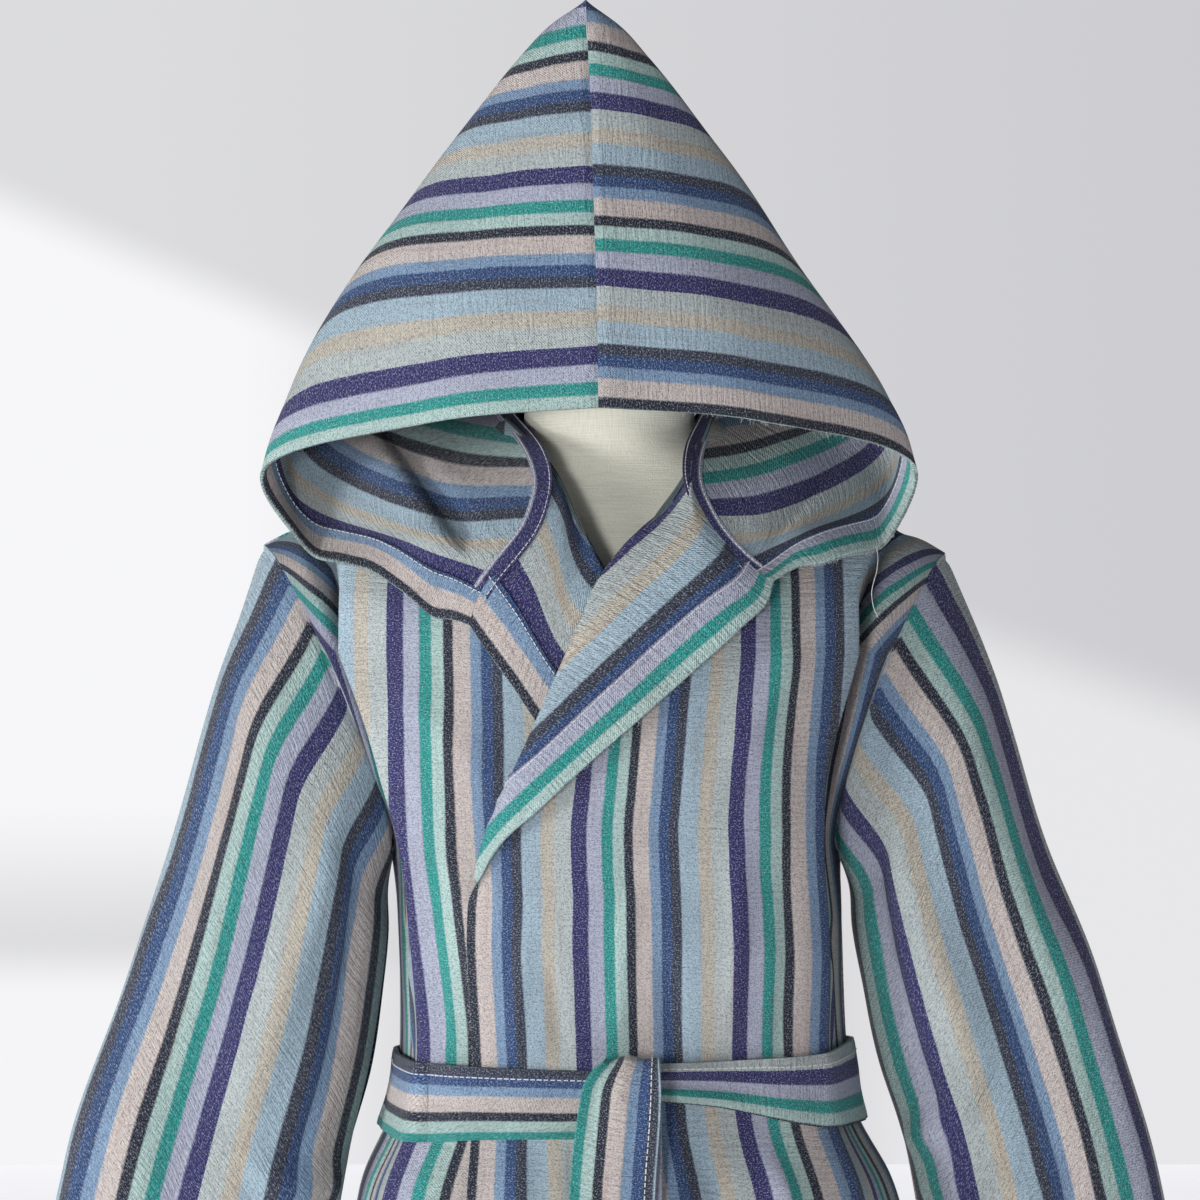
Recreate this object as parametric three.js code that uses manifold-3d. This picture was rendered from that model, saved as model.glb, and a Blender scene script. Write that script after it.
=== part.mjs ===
// A hooded bathrobe of striped cotton, worn by a limbless dress form on its stand.
// Millimetres, +Z up. The front faces -Y and the wearer's left is +X.
// The origin is the middle of the stand's underside.
import * as THREE from 'three';
import { mergeVertices } from 'three/addons/utils/BufferGeometryUtils.js';
import Module from 'manifold-3d';

const wasm = await Module();
wasm.setup();

// ---- driving dimensions ----
const clothWall = 1.6; // thickness of the woven cotton
const halfSeamGap = 0.25; // each piece stops this far from a seam
const hoodGap = 1.4; // the hood's wall bends sharply at the neck seam and stops a little earlier
const sleeveGap = 0.6;
const underarmGap = 2; // the sleeve turns down sharply there
const hoodWidth = 262; // face edge to centre back
const neckShare = 145; // how much of the hood and of a front's top edge lies on the neck seam
const frontWidth = 388; // a front, from its free edge to the armhole
const ridgeAt = 262; // where a front's side pleat turns, from its free edge
const chestZ = 1320; // below this a front hangs straight, above it curves to the shoulder
const lapelTop = 1456; // height of a front's top edge, measured flat
const underarmZ = 1190;
const hemZ = 300;
const neckPointY = 4;
const shoulderTopZ = 1476;
const shoulderFall = 0.548; // the shoulder's slope
const overLift = 9; // the over front lies this far outside the under one
const beltWall = 3;
const beltZ = 1037;
const formBottomZ = 850;
const formTopZ = 1535;
const poleRadius = 13;
const baseRadius = 165;
const baseHeight = 20;
const partGap = 0.3; // between hard pieces that meet

// a table has named columns, and its rows are read smoothly between their places, column "at"
function table(columns, rows) {
  const names = columns.split(' ');
  return rows.map((row) => Object.fromEntries(names.map((name, k) => [name, row[k]])));
}

function read(rows, column, place) {
  const last = rows.length - 1;
  const way = rows[last].at > rows[0].at ? 1 : -1;
  if (way * (place - rows[0].at) <= 0) return rows[0][column];
  if (way * (place - rows[last].at) >= 0) return rows[last][column];
  let i = 0;
  while (way * (place - rows[i + 1].at) > 0) i += 1;
  const slope = (k) => (rows[k + 1][column] - rows[k][column]) / (rows[k + 1].at - rows[k].at);
  const tangent = (k) => {
    if (k === 0) return slope(0);
    if (k === last) return slope(last - 1);
    return (slope(k - 1) + slope(k)) / 2;
  };
  const step = rows[i + 1].at - rows[i].at;
  const t = (place - rows[i].at) / step;
  const rise = t * t * (3 - 2 * t);
  const start = (1 - t) * (1 - t) * t * step * tangent(i);
  const end = t * t * (t - 1) * step * tangent(i + 1);
  return rows[i][column] * (1 - rise) + rows[i + 1][column] * rise + start + end;
}

const vec = (x, y, z) => new THREE.Vector3(x, y, z);
const mix = (a, b, t) => a + (b - a) * t;
const mixPoints = (a, b, t) => a.clone().lerp(b, t);
const bell = (x) => Math.exp(-x * x);
const smooth = (x) => { const t = Math.min(1, Math.max(0, x)); return t * t * (3 - 2 * t); };
const signedPower = (x, power) => Math.sign(x) * Math.abs(x) ** power;
const smoothLine = (points) => new THREE.CatmullRomCurve3(points, false, 'catmullrom', 0.5);
const throughPoints = (points, t) => smoothLine(points).getPoint(t);

// ---- the measured shapes, a row for each section or line ----
// steps along the neck seam from the free edge: eight on a front, then five on the back's half
const lapelSteps = [0, 14, 28, 46, 65, 85, 104, 124, 145];
const napeSteps = [145, 168, 192, 216, 240, 262];

const neckSeam = {
  left: table('at x y z', [
    [0, 103, -118, 1365], [28, 91, -119, 1372], [46, 80, -119, 1382], [65, 67, -116, 1397],
    [85, 57, -108, 1415], [104, 52, -96, 1431], [124, 55, -66, 1453], [145, 68, 4, 1476],
    [168, 65, 28, 1482], [192, 54, 48, 1486], [216, 37, 62, 1489],
    [240, 18, 69, 1490], [262, 0, 71, 1490],
  ]),
  right: table('at x y z', [
    [0, -88, -120, 1338], [28, -80, -119, 1360], [46, -66, -116, 1378], [65, -51, -110, 1397],
    [85, -44, -101, 1415], [104, -42, -88, 1433], [124, -50, -64, 1453], [145, -70, 4, 1476],
    [168, -66, 28, 1482], [192, -54, 48, 1486], [216, -37, 62, 1489],
    [240, -18, 69, 1490], [262, 0, 71, 1490],
  ]),
};

// the hood's top seam, from the face edge to the peak
const hoodSeam = table('at x y z', [
  [0, -7, -165, 1473], [65, -8, -158, 1538], [130, -10, -147, 1602],
  [195, -12, -134, 1665], [262, -15, -120, 1730],
]);
// a line of the hood along the stripes runs by its side, its rear and its low place to the neck
const hoodLines = {
  left: table('at sideX sideY sideZ rearX rearY rearZ lowX lowY lowZ', [
    [0, 196, -85, 1437, 176, -84, 1394, 140, -103, 1378],
    [28, 186, -85, 1466, 178, -58, 1415, 128, -95, 1393],
    [65, 162, -87, 1506, 184, -35, 1447, 108, -101, 1401],
    [104, 128, -90, 1554, 166, -5, 1477, 106, -64, 1442],
    [145, 97, -94, 1600, 142, 25, 1498, 104, 26, 1478],
    [192, 58, -100, 1656, 92, 62, 1532, 73, 94, 1469],
    [240, 9, -108, 1706, 28, 84, 1567, 26, 118, 1468],
    [262, -15, -104, 1725, -6, 91, 1562, -2, 121, 1466],
  ]),
  right: table('at sideX sideY sideZ rearX rearY rearZ lowX lowY lowZ', [
    [0, -222, -85, 1434, -200, -84, 1396, -140, -104, 1364],
    [28, -213, -85, 1463, -203, -58, 1415, -130, -97, 1385],
    [65, -186, -87, 1518, -206, -35, 1448, -105, -100, 1397],
    [104, -160, -90, 1562, -184, -5, 1480, -110, -64, 1438],
    [145, -125, -94, 1608, -152, 25, 1502, -102, 28, 1484],
    [192, -86, -100, 1661, -100, 62, 1532, -77, 94, 1469],
    [240, -39, -108, 1704, -40, 84, 1567, -30, 118, 1468],
    [262, -15, -104, 1725, -6, 91, 1562, -2, 121, 1466],
  ]),
};
const hoodFront = 0.25; // how early the front of the hood turns back, from 0 to 1

// the body's depth in front of and behind the form's axis
const bodyDepth = table('at front back', [
  [1320, 120, 100], [1276, 124, 104], [1238, 124, 104],
  [1190, 120, 100], [1140, 114, 95], [1060, 104, 86],
  [1020, 106, 90], [974, 118, 104], [900, 126, 116], [800, 132, 122], [600, 136, 126], [300, 140, 130],
]);
const chestFlatness = 2.6;

// a front's side pleat, by height: its ridge, the valley behind it and the crest by the seam
const sidePleat = {
  left: table('at ridgeX ridgeY valleyX valleyY crestX crestY seamX', [
    [1320, 158, -84, 154, -52, 168, -64, 182], [1276, 146, -90, 146, -56, 157, -64, 167],
    [1238, 137, -92, 138, -56, 147, -60, 156], [1200, 135, -90, 136, -52, 142, -42, 152],
    [1140, 139, -84, 142, -56, 149, -32, 153], [1060, 138, -74, 144, -52, 152, -28, 156],
    [1020, 143, -76, 150, -54, 158, -30, 162], [974, 160, -86, 170, -60, 180, -32, 185],
    [900, 172, -92, 184, -64, 195, -34, 200], [800, 188, -98, 202, -68, 214, -36, 220],
    [300, 204, -104, 222, -72, 236, -38, 242],
  ]),
  right: table('at ridgeX ridgeY valleyX valleyY crestX crestY seamX', [
    [1320, -172, -78, -166, -50, -176, -60, -184], [1276, -155, -88, -152, -56, -161, -62, -168],
    [1238, -144, -90, -142, -58, -150, -58, -158], [1200, -134, -86, -133, -54, -138, -42, -146],
    [1140, -127, -84, -129, -58, -134, -34, -138], [1060, -122, -76, -127, -54, -133, -30, -137],
    [1020, -126, -78, -132, -56, -138, -32, -143], [974, -142, -88, -150, -62, -158, -34, -163],
    [900, -150, -92, -160, -64, -168, -34, -173], [800, -172, -98, -184, -68, -196, -36, -203],
    [300, -195, -104, -212, -72, -228, -38, -235],
  ]),
};
const sideSeamY = 3;

// the armhole seam is an oval from the underarm to the shoulder tip, drawn in towards the chest
const armhole = {
  left: { underX: 152, tipX: 221, tipZ: 1384, front: 62, back: 60, bowFront: 18, bowBack: 10 },
  right: { underX: -144, tipX: -227, tipZ: 1390, front: 62, back: 60, bowFront: 16, bowBack: 10 },
};

// a lapel: at each height of the flat cloth, how much is turned back, where it rolls and where
// its edge lies
const lapel = {
  left: table('at turned rollX rollZ edgeX edgeZ', [
    [1456, 145, 68, 1476, 103, 1365], [1433, 141, 52, 1440, 98, 1351], [1411, 121, 32, 1411, 83, 1337],
    [1388, 98, 9, 1388, 66, 1321], [1365, 81, -8, 1365, 49, 1306], [1343, 72, -17, 1343, 32, 1291],
    [1320, 61, -27, 1320, 15, 1276], [1291, 49, -40, 1291, -7, 1257], [1262, 36, -53, 1262, -29, 1237],
    [1238, 25, -64, 1238, -46, 1221], [1212, 14, -75, 1212, -66, 1204], [1190, 6, -83, 1190, -80, 1189],
  ]),
  right: table('at turned rollX rollZ edgeX edgeZ', [
    [1456, 145, -70, 1476, -88, 1338], [1433, 139, -38, 1441, -75, 1319],
    [1411, 132, -22, 1411, -62, 1301],
    [1388, 124, -11, 1388, -49, 1282], [1365, 117, 1, 1365, -36, 1264], [1343, 105, 12, 1343, -21, 1248],
    [1320, 92, 24, 1320, -4, 1234], [1291, 76, 39, 1291, 18, 1218], [1262, 60, 55, 1262, 40, 1204],
    [1238, 45, 69, 1238, 58, 1196], [1212, 30, 85, 1212, 79, 1184], [1190, 17, 99, 1190, 97, 1174],
    [1165, 6, 114, 1165, 113, 1161],
  ]),
};
// a front's free edge below its lapel
const freeEdge = {
  left: table('at x', [[1190, -86], [1140, -90], [1060, -86], [974, -90], [800, -104], [300, -122]]),
  right: table('at x', [[1165, 122], [1060, 118], [974, 120], [800, 132], [300, 150]]),
};
const edgeLift = { left: overLift, right: 0 };
const rollLift = { left: 13.5, right: 2.2 };
const lapelLift = { left: 17.5, right: 4.4 };
const lapelFade = 90; // the turned-back layer sinks to the front over this height at its lower end

// soft folds of the body below the belt, by place across the piece
const skirtFolds = {
  left: table('across width height', [[40, 26, 5], [118, 22, -6], [196, 26, 9], [300, 30, 7]]),
  right: table('across width height', [[60, 24, -5], [150, 26, 8], [228, 24, -6], [310, 30, 8]]),
  back: table('across width height', [
    [-236, 26, 7], [-168, 24, -6], [-96, 28, 9], [-20, 24, -7], [62, 28, 10], [140, 22, -6], [214, 28, 8],
  ]),
};
const foldStartZ = 1015;
const foldFullZ = 700;

// sleeves, by distance below the shoulder tip: the outer and inner line and the depth
const sleeveLines = {
  left: table('at outX outZ inX inZ front back', [
    [0, 221, 1384, 152, 1190, 62, 60], [60, 246, 1322, 159, 1166, 74, 60],
    [125, 266, 1262, 161, 1138, 76, 56],
    [200, 288, 1190, 168, 1103, 70, 50], [300, 322, 1106, 179, 1052, 62, 42],
    [400, 352, 1010, 198, 990, 58, 36],
    [520, 380, 893, 219, 880, 56, 34],
  ]),
  right: table('at outX outZ inX inZ front back', [
    [0, -227, 1390, -144, 1190, 62, 60], [60, -248, 1330, -147, 1164, 76, 58],
    [125, -268, 1264, -147, 1136, 80, 54],
    [200, -291, 1182, -150, 1103, 76, 46], [300, -318, 1102, -158, 1050, 68, 38],
    [400, -350, 1004, -174, 985, 62, 34],
    [520, -386, 885, -193, 872, 60, 32],
  ]),
};
const sleeveCuffAt = 520;
const sleeveFolds = table('turn width height from', [
  [0.14, 0.035, 7, 60], [0.27, 0.03, -6, 130], [0.40, 0.035, 6, 200],
  [0.62, 0.04, 7, 90], [0.84, 0.04, -7, 160],
]);

// ---- the body's surface ----
const outward = { left: 1, right: -1 };

function hangY(side, x, z) {
  const rows = sidePleat[side];
  const low = Math.min(z, chestZ);
  const depth = read(bodyDepth, 'front', low);
  const reach = Math.min(1, Math.abs(x / read(rows, 'ridgeX', low)));
  return -depth + (depth + read(rows, 'ridgeY', low)) * reach ** chestFlatness;
}

// the chest's surface at any place in front, the shoulder's rounding included
function chestY(x, z) {
  const side = x > 0 ? 'left' : 'right';
  const below = hangY(side, x, z);
  if (z <= chestZ) return below;
  const top = shoulderTopZ - Math.max(0, Math.abs(x) - 70) * shoulderFall;
  const sine = Math.min(1, (z - chestZ) / (top - chestZ));
  return neckPointY + (below - neckPointY) * Math.sqrt(1 - sine * sine);
}

function liftOf(side, x, z) {
  if (side === 'right') return 0;
  const reach = Math.abs(x / read(sidePleat.left, 'ridgeX', Math.min(z, chestZ)));
  return overLift * (1 - Math.min(1, reach) ** 10);
}

function armholePoint(side, turn) {
  const hole = armhole[side];
  const angle = turn * 2 * Math.PI;
  const along = -Math.cos(angle);
  const across = Math.sin(angle);
  const bow = across > 0 ? hole.bowFront : hole.bowBack;
  const depth = across > 0 ? hole.front : hole.back;
  const x = mix(hole.underX, hole.tipX, (along + 1) / 2) - outward[side] * bow * Math.abs(across);
  const z = mix(underarmZ, hole.tipZ, (along + 1) / 2);
  return vec(x, -depth * signedPower(across, 0.85), z);
}

// the turn round the armhole, front half, at a height
function armholeTurn(side, z) {
  const share = (z - underarmZ) / (armhole[side].tipZ - underarmZ);
  return Math.acos(1 - 2 * share) / (2 * Math.PI);
}

// the same for the rows above the chest, from the tip down
function armholeTurnAt(side, down) {
  return mix(0.5, armholeTurn(side, chestZ), down);
}

function seamPoint(side, z, face) {
  if (z >= underarmZ) {
    const turn = armholeTurn(side, z);
    return armholePoint(side, face === 'front' ? turn : 1 - turn);
  }
  return vec(read(sidePleat[side], 'seamX', z), sideSeamY, z);
}

function neckPoint(side, at) {
  return vec(read(neckSeam[side], 'x', at), read(neckSeam[side], 'y', at), read(neckSeam[side], 'z', at));
}

// the shoulder seam, from the neck to the tip, with the pleat's step in it
function shoulderPoint(side, share) {
  const neck = neckPoint(side, neckShare);
  const point = mixPoints(neck, armholePoint(side, 0.5), share);
  point.z += 3 * bell((share - 0.66) / 0.08) - 4 * bell((share - 0.8) / 0.07);
  return point;
}

function foldHeight(rows, across, z) {
  const grown = smooth((foldStartZ - z) / (foldStartZ - foldFullZ));
  const heightOf = (fold) => fold.height * bell((across - fold.across) / fold.width);
  return rows.reduce((sum, fold) => sum + heightOf(fold), 0) * grown;
}

// ---- a front ----
const plainSteps = [0, 0.04, 0.14, 0.32, 0.52, 0.7, 0.86, 1];
const pleatSteps = [0.17, 0.33, 0.5, 0.66, 1];
const upperShares = [0, 0.2, 0.4, 0.6, 0.8, 1];
const hangHeights = [1291, 1262, 1236, 1212, underarmZ, 1150, 1105, 1060, 1012, 974, 900, 800, 600, hemZ];

// a place on the hanging part of a front: plain is 0 at the roll or edge and 1 at the pleat's ridge
function hangPoint(side, z, startX, startU, plain, pleat) {
  const rows = sidePleat[side];
  const ridge = vec(read(rows, 'ridgeX', z), read(rows, 'ridgeY', z), z);
  if (plain < 1) {
    const x = mix(startX, ridge.x, plain);
    const u = mix(startU, ridgeAt, plain);
    const sideHere = x > 0 ? 'left' : 'right';
    const fold = foldHeight(skirtFolds[side], u, z);
    return { point: vec(x, hangY(sideHere, x, z) - liftOf(side, x, z) - fold, z), u };
  }
  const valley = vec(read(rows, 'valleyX', z), read(rows, 'valleyY', z), z);
  const crest = vec(read(rows, 'crestX', z), read(rows, 'crestY', z), z);
  const point = throughPoints([ridge, valley, crest, seamPoint(side, z, 'front')], pleat);
  const u = mix(ridgeAt, frontWidth, pleat);
  const fold = foldHeight(skirtFolds[side], u, z);
  point.x += outward[side] * fold * 0.7;
  point.y -= fold * 0.7;
  return { point, u };
}

function lapelPoints(side, row) {
  const rows = lapel[side];
  const turned = read(rows, 'turned', row);
  const roll = { x: read(rows, 'rollX', row), z: read(rows, 'rollZ', row) };
  const edge = { x: read(rows, 'edgeX', row), z: read(rows, 'edgeZ', row) };
  const full = mix(0.3, 1, smooth((row - rows[rows.length - 1].at) / lapelFade));
  return lapelSteps.map((step) => {
    const share = step / neckShare;
    const x = mix(edge.x, roll.x, share);
    const z = mix(edge.z, roll.z, share);
    const lift = mix(lapelLift[side], rollLift[side], share ** 6);
    return { point: vec(x, chestY(x, z) - mix(edgeLift[side], lift, full), z), u: turned * share };
  });
}

function frontRow(side, row) {
  const edgeX = read(freeEdge[side], 'x', row);
  const bottom = lapel[side][lapel[side].length - 1];
  if (row >= bottom.at) {
    return { points: lapelPoints(side, row), startX: read(lapel[side], 'rollX', row) };
  }
  const points = lapelSteps.slice(0, -1).map((step) => {
    const u = (step / neckShare) * 12;
    const place = hangPoint(side, row, edgeX, 0, u / ridgeAt, 0);
    return { point: place.point, u };
  });
  const start = hangPoint(side, row, edgeX, 0, 12 / ridgeAt, 0);
  points.push({ point: start.point, u: 12 });
  return { points, startX: start.point.x };
}

function hangRow(side, z) {
  const { points, startX } = frontRow(side, z);
  const startU = points[points.length - 1].u;
  const plain = plainSteps.slice(1).map((share) => hangPoint(side, z, startX, startU, share, 0));
  const pleat = pleatSteps.map((share) => hangPoint(side, z, startX, startU, 1, share));
  return [...points, ...plain, ...pleat];
}

// the part above the chest is stretched between the roll, the shoulder seam, the armhole and
// the chest line
function upperRows(side) {
  const bottom = hangRow(side, chestZ).slice(lapelSteps.length - 1);
  const first = bottom[0];
  const last = bottom[bottom.length - 1];
  const shareOf = (place) => (place.u - first.u) / (last.u - first.u);
  const neck = shoulderPoint(side, 0);
  const tip = shoulderPoint(side, 1);
  return upperShares.slice(0, -1).map((down) => {
    const row = mix(lapelTop, chestZ, down);
    const turnedPart = down === 0
      ? lapelSteps.map((step) => ({ point: neckPoint(side, step), u: step }))
      : lapelPoints(side, row);
    const roll = turnedPart[turnedPart.length - 1];
    const arm = armholePoint(side, armholeTurnAt(side, down));
    const rest = bottom.slice(1).map((place) => {
      const across = shareOf(place);
      const top = shoulderPoint(side, across);
      const borders = { start: roll.point, end: arm, top, bottom: place.point };
      const corners = { topStart: neck, topEnd: tip, lowStart: first.point, lowEnd: last.point };
      return { point: stretched(borders, corners, across, down), u: mix(roll.u, frontWidth, across) };
    });
    return [...turnedPart, ...rest];
  });
}

// a patch stretched between four border lines, each a point for this place across and down
function stretched(borders, corners, across, down) {
  return vec(0, 0, 0)
    .addScaledVector(borders.start, 1 - across).addScaledVector(borders.end, across)
    .addScaledVector(borders.top, 1 - down).addScaledVector(borders.bottom, down)
    .addScaledVector(corners.topStart, -(1 - across) * (1 - down))
    .addScaledVector(corners.topEnd, -across * (1 - down))
    .addScaledVector(corners.lowStart, -(1 - across) * down)
    .addScaledVector(corners.lowEnd, -across * down);
}

function frontGrid(side) {
  const rows = [...upperRows(side), hangRow(side, chestZ), ...hangHeights.map((z) => hangRow(side, z))];
  return rows.map((row) => row.map((place) => place.point));
}

// ---- the back ----
const neckOnBack = 0.4; // the share of the back's top edge that lies on the neck seam
const napeShare = (at) => neckOnBack * (hoodWidth - at) / (hoodWidth - neckShare);
const napeShares = [...napeSteps].reverse().map(napeShare);
const backShares = [...napeShares, 0.55, 0.7, 0.83, 0.93, 1];

function backTop(side, share) {
  if (share <= neckOnBack) return neckPoint(side, mix(hoodWidth, neckShare, share / neckOnBack));
  return shoulderPoint(side, (share - neckOnBack) / (1 - neckOnBack));
}

function backHang(side, z, share) {
  const seam = seamPoint(side, z, 'back');
  const depth = read(bodyDepth, 'back', z);
  const x = seam.x * share ** 0.92;
  const y = mix(depth, seam.y, share ** 3.2);
  const fold = foldHeight(skirtFolds.back, outward[side] * share * 275, z) * (1 - share ** 8);
  return vec(x + outward[side] * fold * share * 0.6, y + fold, z);
}

function backPoint(side, down, share) {
  const angle = (1 - down) * Math.PI / 2;
  const rounded = (place) => {
    const top = backTop(side, place);
    const low = backHang(side, chestZ, place);
    return vec(
      mix(low.x, top.x, Math.sin(angle)),
      mix(top.y, low.y, Math.cos(angle)),
      mix(low.z, top.z, Math.sin(angle)),
    );
  };
  const arm = armholePoint(side, 1 - armholeTurnAt(side, down));
  const point = rounded(share);
  return point.addScaledVector(arm.sub(rounded(1)), share ** 4);
}

function backGrid() {
  const across = [
    ...backShares.slice(1).reverse().map((share) => ['right', share]),
    ...backShares.map((share) => ['left', share]),
  ];
  const upperRow = (down) => across.map(([side, share]) => backPoint(side, down, share));
  const lowerRow = (z) => across.map(([side, share]) => backHang(side, z, share));
  const upper = upperShares.slice(0, -1).map(upperRow);
  const lower = [chestZ, ...hangHeights].map(lowerRow);
  return [...upper, ...lower];
}

// ---- the hood ----
function hoodLine(side, at) {
  const value = (column) => read(hoodLines[side], column, at);
  const seam = vec(read(hoodSeam, 'x', at), read(hoodSeam, 'y', at), read(hoodSeam, 'z', at));
  const flank = vec(value('sideX'), value('sideY'), value('sideZ'));
  const between = mixPoints(seam, flank, 0.5);
  between.y = mix(seam.y, flank.y, hoodFront);
  return [
    seam, between, flank,
    vec(value('rearX'), value('rearY'), value('rearZ')),
    vec(value('lowX'), value('lowY'), value('lowZ')),
    neckPoint(side, at),
  ];
}

function hoodGrid(side) {
  const steps = [...lapelSteps, ...napeSteps.slice(1)];
  const across = 15;
  return steps.map((at) => {
    const line = hoodLine(side, at);
    return Array.from({ length: across + 1 }, (_, k) => {
      const point = throughPoints(line, k / across);
      if (k === 0 || at === hoodWidth) point.x += outward[side] * halfSeamGap;
      return point;
    });
  });
}

// ---- the sleeves ----
function sleevePoint(side, at, turn) {
  const rows = sleeveLines[side];
  if (at === 0) return armholePoint(side, turn);
  const angle = turn * 2 * Math.PI;
  const along = signedPower(-Math.cos(angle), 0.85);
  const across = Math.sin(angle);
  const depth = across > 0 ? read(rows, 'front', at) : read(rows, 'back', at);
  const share = (along + 1) / 2;
  const fade = smooth(1 - at / 90);
  const bow = across > 0 ? armhole[side].bowFront : armhole[side].bowBack;
  const bowed = outward[side] * bow * Math.abs(across) * fade;
  const x = mix(read(rows, 'inX', at), read(rows, 'outX', at), share) - bowed;
  const z = mix(read(rows, 'inZ', at), read(rows, 'outZ', at), share);
  const fold = sleeveFolds.reduce((sum, row) => (
    sum + row.height * bell((turn - row.turn) / row.width) * smooth((at - row.from) / 150)
  ), 0);
  return vec(x + outward[side] * fold * along * 0.6, -(depth + fold) * signedPower(across, 0.85), z);
}

function sleeveGrid(side) {
  const places = [0, 20, 60, 110, 170, 240, 320, 420, sleeveCuffAt];
  const low = [...hangHeights].reverse().filter((z) => z >= underarmZ).map((z) => armholeTurn(side, z));
  const high = [...upperShares].reverse().map((down) => armholeTurnAt(side, down));
  const half = [...low, ...high];
  const turns = [...half, ...half.slice(0, -1).reverse().map((turn) => 1 - turn)];
  return places.map((at) => turns.map((turn, k) => {
    const point = sleevePoint(side, at, turn);
    if (k === 0) point.y -= halfSeamGap;
    if (k === turns.length - 1) point.y += halfSeamGap;
    if (at === 0) point.x += outward[side] * underarmGap * bell(Math.min(turn, 1 - turn) / 0.12);
    return point;
  }));
}

// ---- walls of cloth from a grid of points ----
function gridNormals(grid) {
  const last = grid.length - 1;
  return grid.map((row, i) => row.map((_, j) => {
    const down = grid[Math.min(last, i + 1)][j].clone().sub(grid[Math.max(0, i - 1)][j]);
    const side = row[Math.min(row.length - 1, j + 1)].clone().sub(row[Math.max(0, j - 1)]);
    return down.cross(side).normalize();
  }));
}

// the wall is half on each side of the grid, so neighbours that share a seam meet edge to edge
function clothSolid(grid, normals, thickness) {
  const [rows, columns] = [grid.length, grid[0].length];
  const count = rows * columns;
  const positions = [];
  [thickness / 2, -thickness / 2].forEach((offset) => {
    grid.forEach((row, i) => row.forEach((point, j) => {
      positions.push(...point.clone().addScaledVector(normals[i][j], offset).toArray());
    }));
  });
  const faces = [];
  const middle = grid.flat();
  const across = (a, b) => middle[a % count].distanceTo(middle[b % count]);
  const split = (a, b, c, d) => (across(a, c) > across(b, d) ? [a, b, d, b, c, d] : [a, b, c, a, c, d]);
  const quad = (a, b, c, d) => faces.push(...split(a, b, c, d));
  const at = (i, j) => i * columns + j;
  for (let i = 0; i < rows - 1; i += 1) {
    for (let j = 0; j < columns - 1; j += 1) {
      quad(at(i, j), at(i + 1, j), at(i + 1, j + 1), at(i, j + 1));
      quad(count + at(i, j + 1), count + at(i + 1, j + 1), count + at(i + 1, j), count + at(i, j));
    }
  }
  const rim = (a, b) => quad(a, b, count + b, count + a);
  for (let j = 0; j < columns - 1; j += 1) {
    rim(at(0, j), at(0, j + 1));
    rim(at(rows - 1, j + 1), at(rows - 1, j));
  }
  for (let i = 0; i < rows - 1; i += 1) {
    rim(at(i + 1, 0), at(i, 0));
    rim(at(i, columns - 1), at(i + 1, columns - 1));
  }
  const geometry = new THREE.BufferGeometry();
  geometry.setAttribute('position', new THREE.Float32BufferAttribute(positions, 3));
  geometry.setIndex(faces);
  return geometry;
}

function flipRows(grid) {
  return grid.map((row) => [...row].reverse());
}

// draws a grid's borders in along the cloth, each by its own gap
function trimmed(grid, borders) {
  const copy = grid.map((row) => row.map((point) => point.clone()));
  const [rows, columns] = [grid.length, grid[0].length];
  const pull = (point, towards, gap) => {
    point.addScaledVector(towards.clone().sub(point).normalize(), gap);
  };
  for (let j = 0; j < columns; j += 1) {
    if (borders.top) pull(copy[0][j], grid[1][j], borders.top);
  }
  for (let i = 0; i < rows; i += 1) {
    if (borders.start) pull(copy[i][0], grid[i][1], borders.start);
    if (borders.end) pull(copy[i][columns - 1], grid[i][columns - 2], borders.end);
  }
  return copy;
}

const group = new THREE.Group();

function addMesh(name, geometry, color, roughness, metalness = 0) {
  const mesh = new THREE.Mesh(geometry, new THREE.MeshStandardMaterial({ color, roughness, metalness }));
  mesh.name = name;
  group.add(mesh);
}

// the seam's own direction for both walls that meet at an armhole
function armholeNormal(side, point) {
  const hole = armhole[side];
  const centre = vec((hole.underX + hole.tipX) / 2, 0, (underarmZ + hole.tipZ) / 2);
  return point.clone().sub(centre).normalize();
}

// a piece of cloth: its grid, the normals that face out, and how it is turned for the solid
function clothPiece(name, grid, facesOut, color, borders) {
  const drawn = trimmed(grid, borders);
  const normals = gridNormals(grid).map((row) => row.map((n) => (facesOut ? n : n.negate())));
  return { name, grid: drawn, normals, facesOut, color };
}

function solidOf(piece, thickness) {
  const { grid, normals, facesOut } = piece;
  return facesOut
    ? clothSolid(grid, normals, thickness)
    : clothSolid(flipRows(grid), flipRows(normals), thickness);
}

function toManifold(geometry) {
  const merged = mergeVertices(geometry, 1e-4);
  return new wasm.Manifold(new wasm.Mesh({
    numProp: 3,
    vertProperties: merged.attributes.position.array,
    triVerts: new Uint32Array(merged.index.array),
  }));
}

// cuts a strip back from the walls that it lies on, and closes up cut edges shorter than a sliver
function clearOf(geometry, pieces) {
  const walls = pieces.map((piece) => toManifold(solidOf(piece, clothWall + 2 * tapeGap)));
  const cut = walls.reduce((solid, wall) => solid.subtract(wall), toManifold(geometry)).simplify(sliver);
  const mesh = cut.decompose().sort((a, b) => b.volume() - a.volume())[0].getMesh();
  const result = new THREE.BufferGeometry();
  result.setAttribute('position', new THREE.Float32BufferAttribute(mesh.vertProperties, 3));
  result.setIndex([...mesh.triVerts]);
  return result;
}

function addPiece(piece) {
  addMesh(piece.name, solidOf(piece, clothWall), piece.color, 0.85);
}

// two pieces that are sewn together share one direction for their walls at each point of the seam
function shareNormal(first, i, j, second, k, l) {
  const sum = first.normals[i][j].clone().add(second.normals[k][l]).normalize();
  first.normals[i][j] = sum;
  second.normals[k][l] = sum.clone();
}

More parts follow.
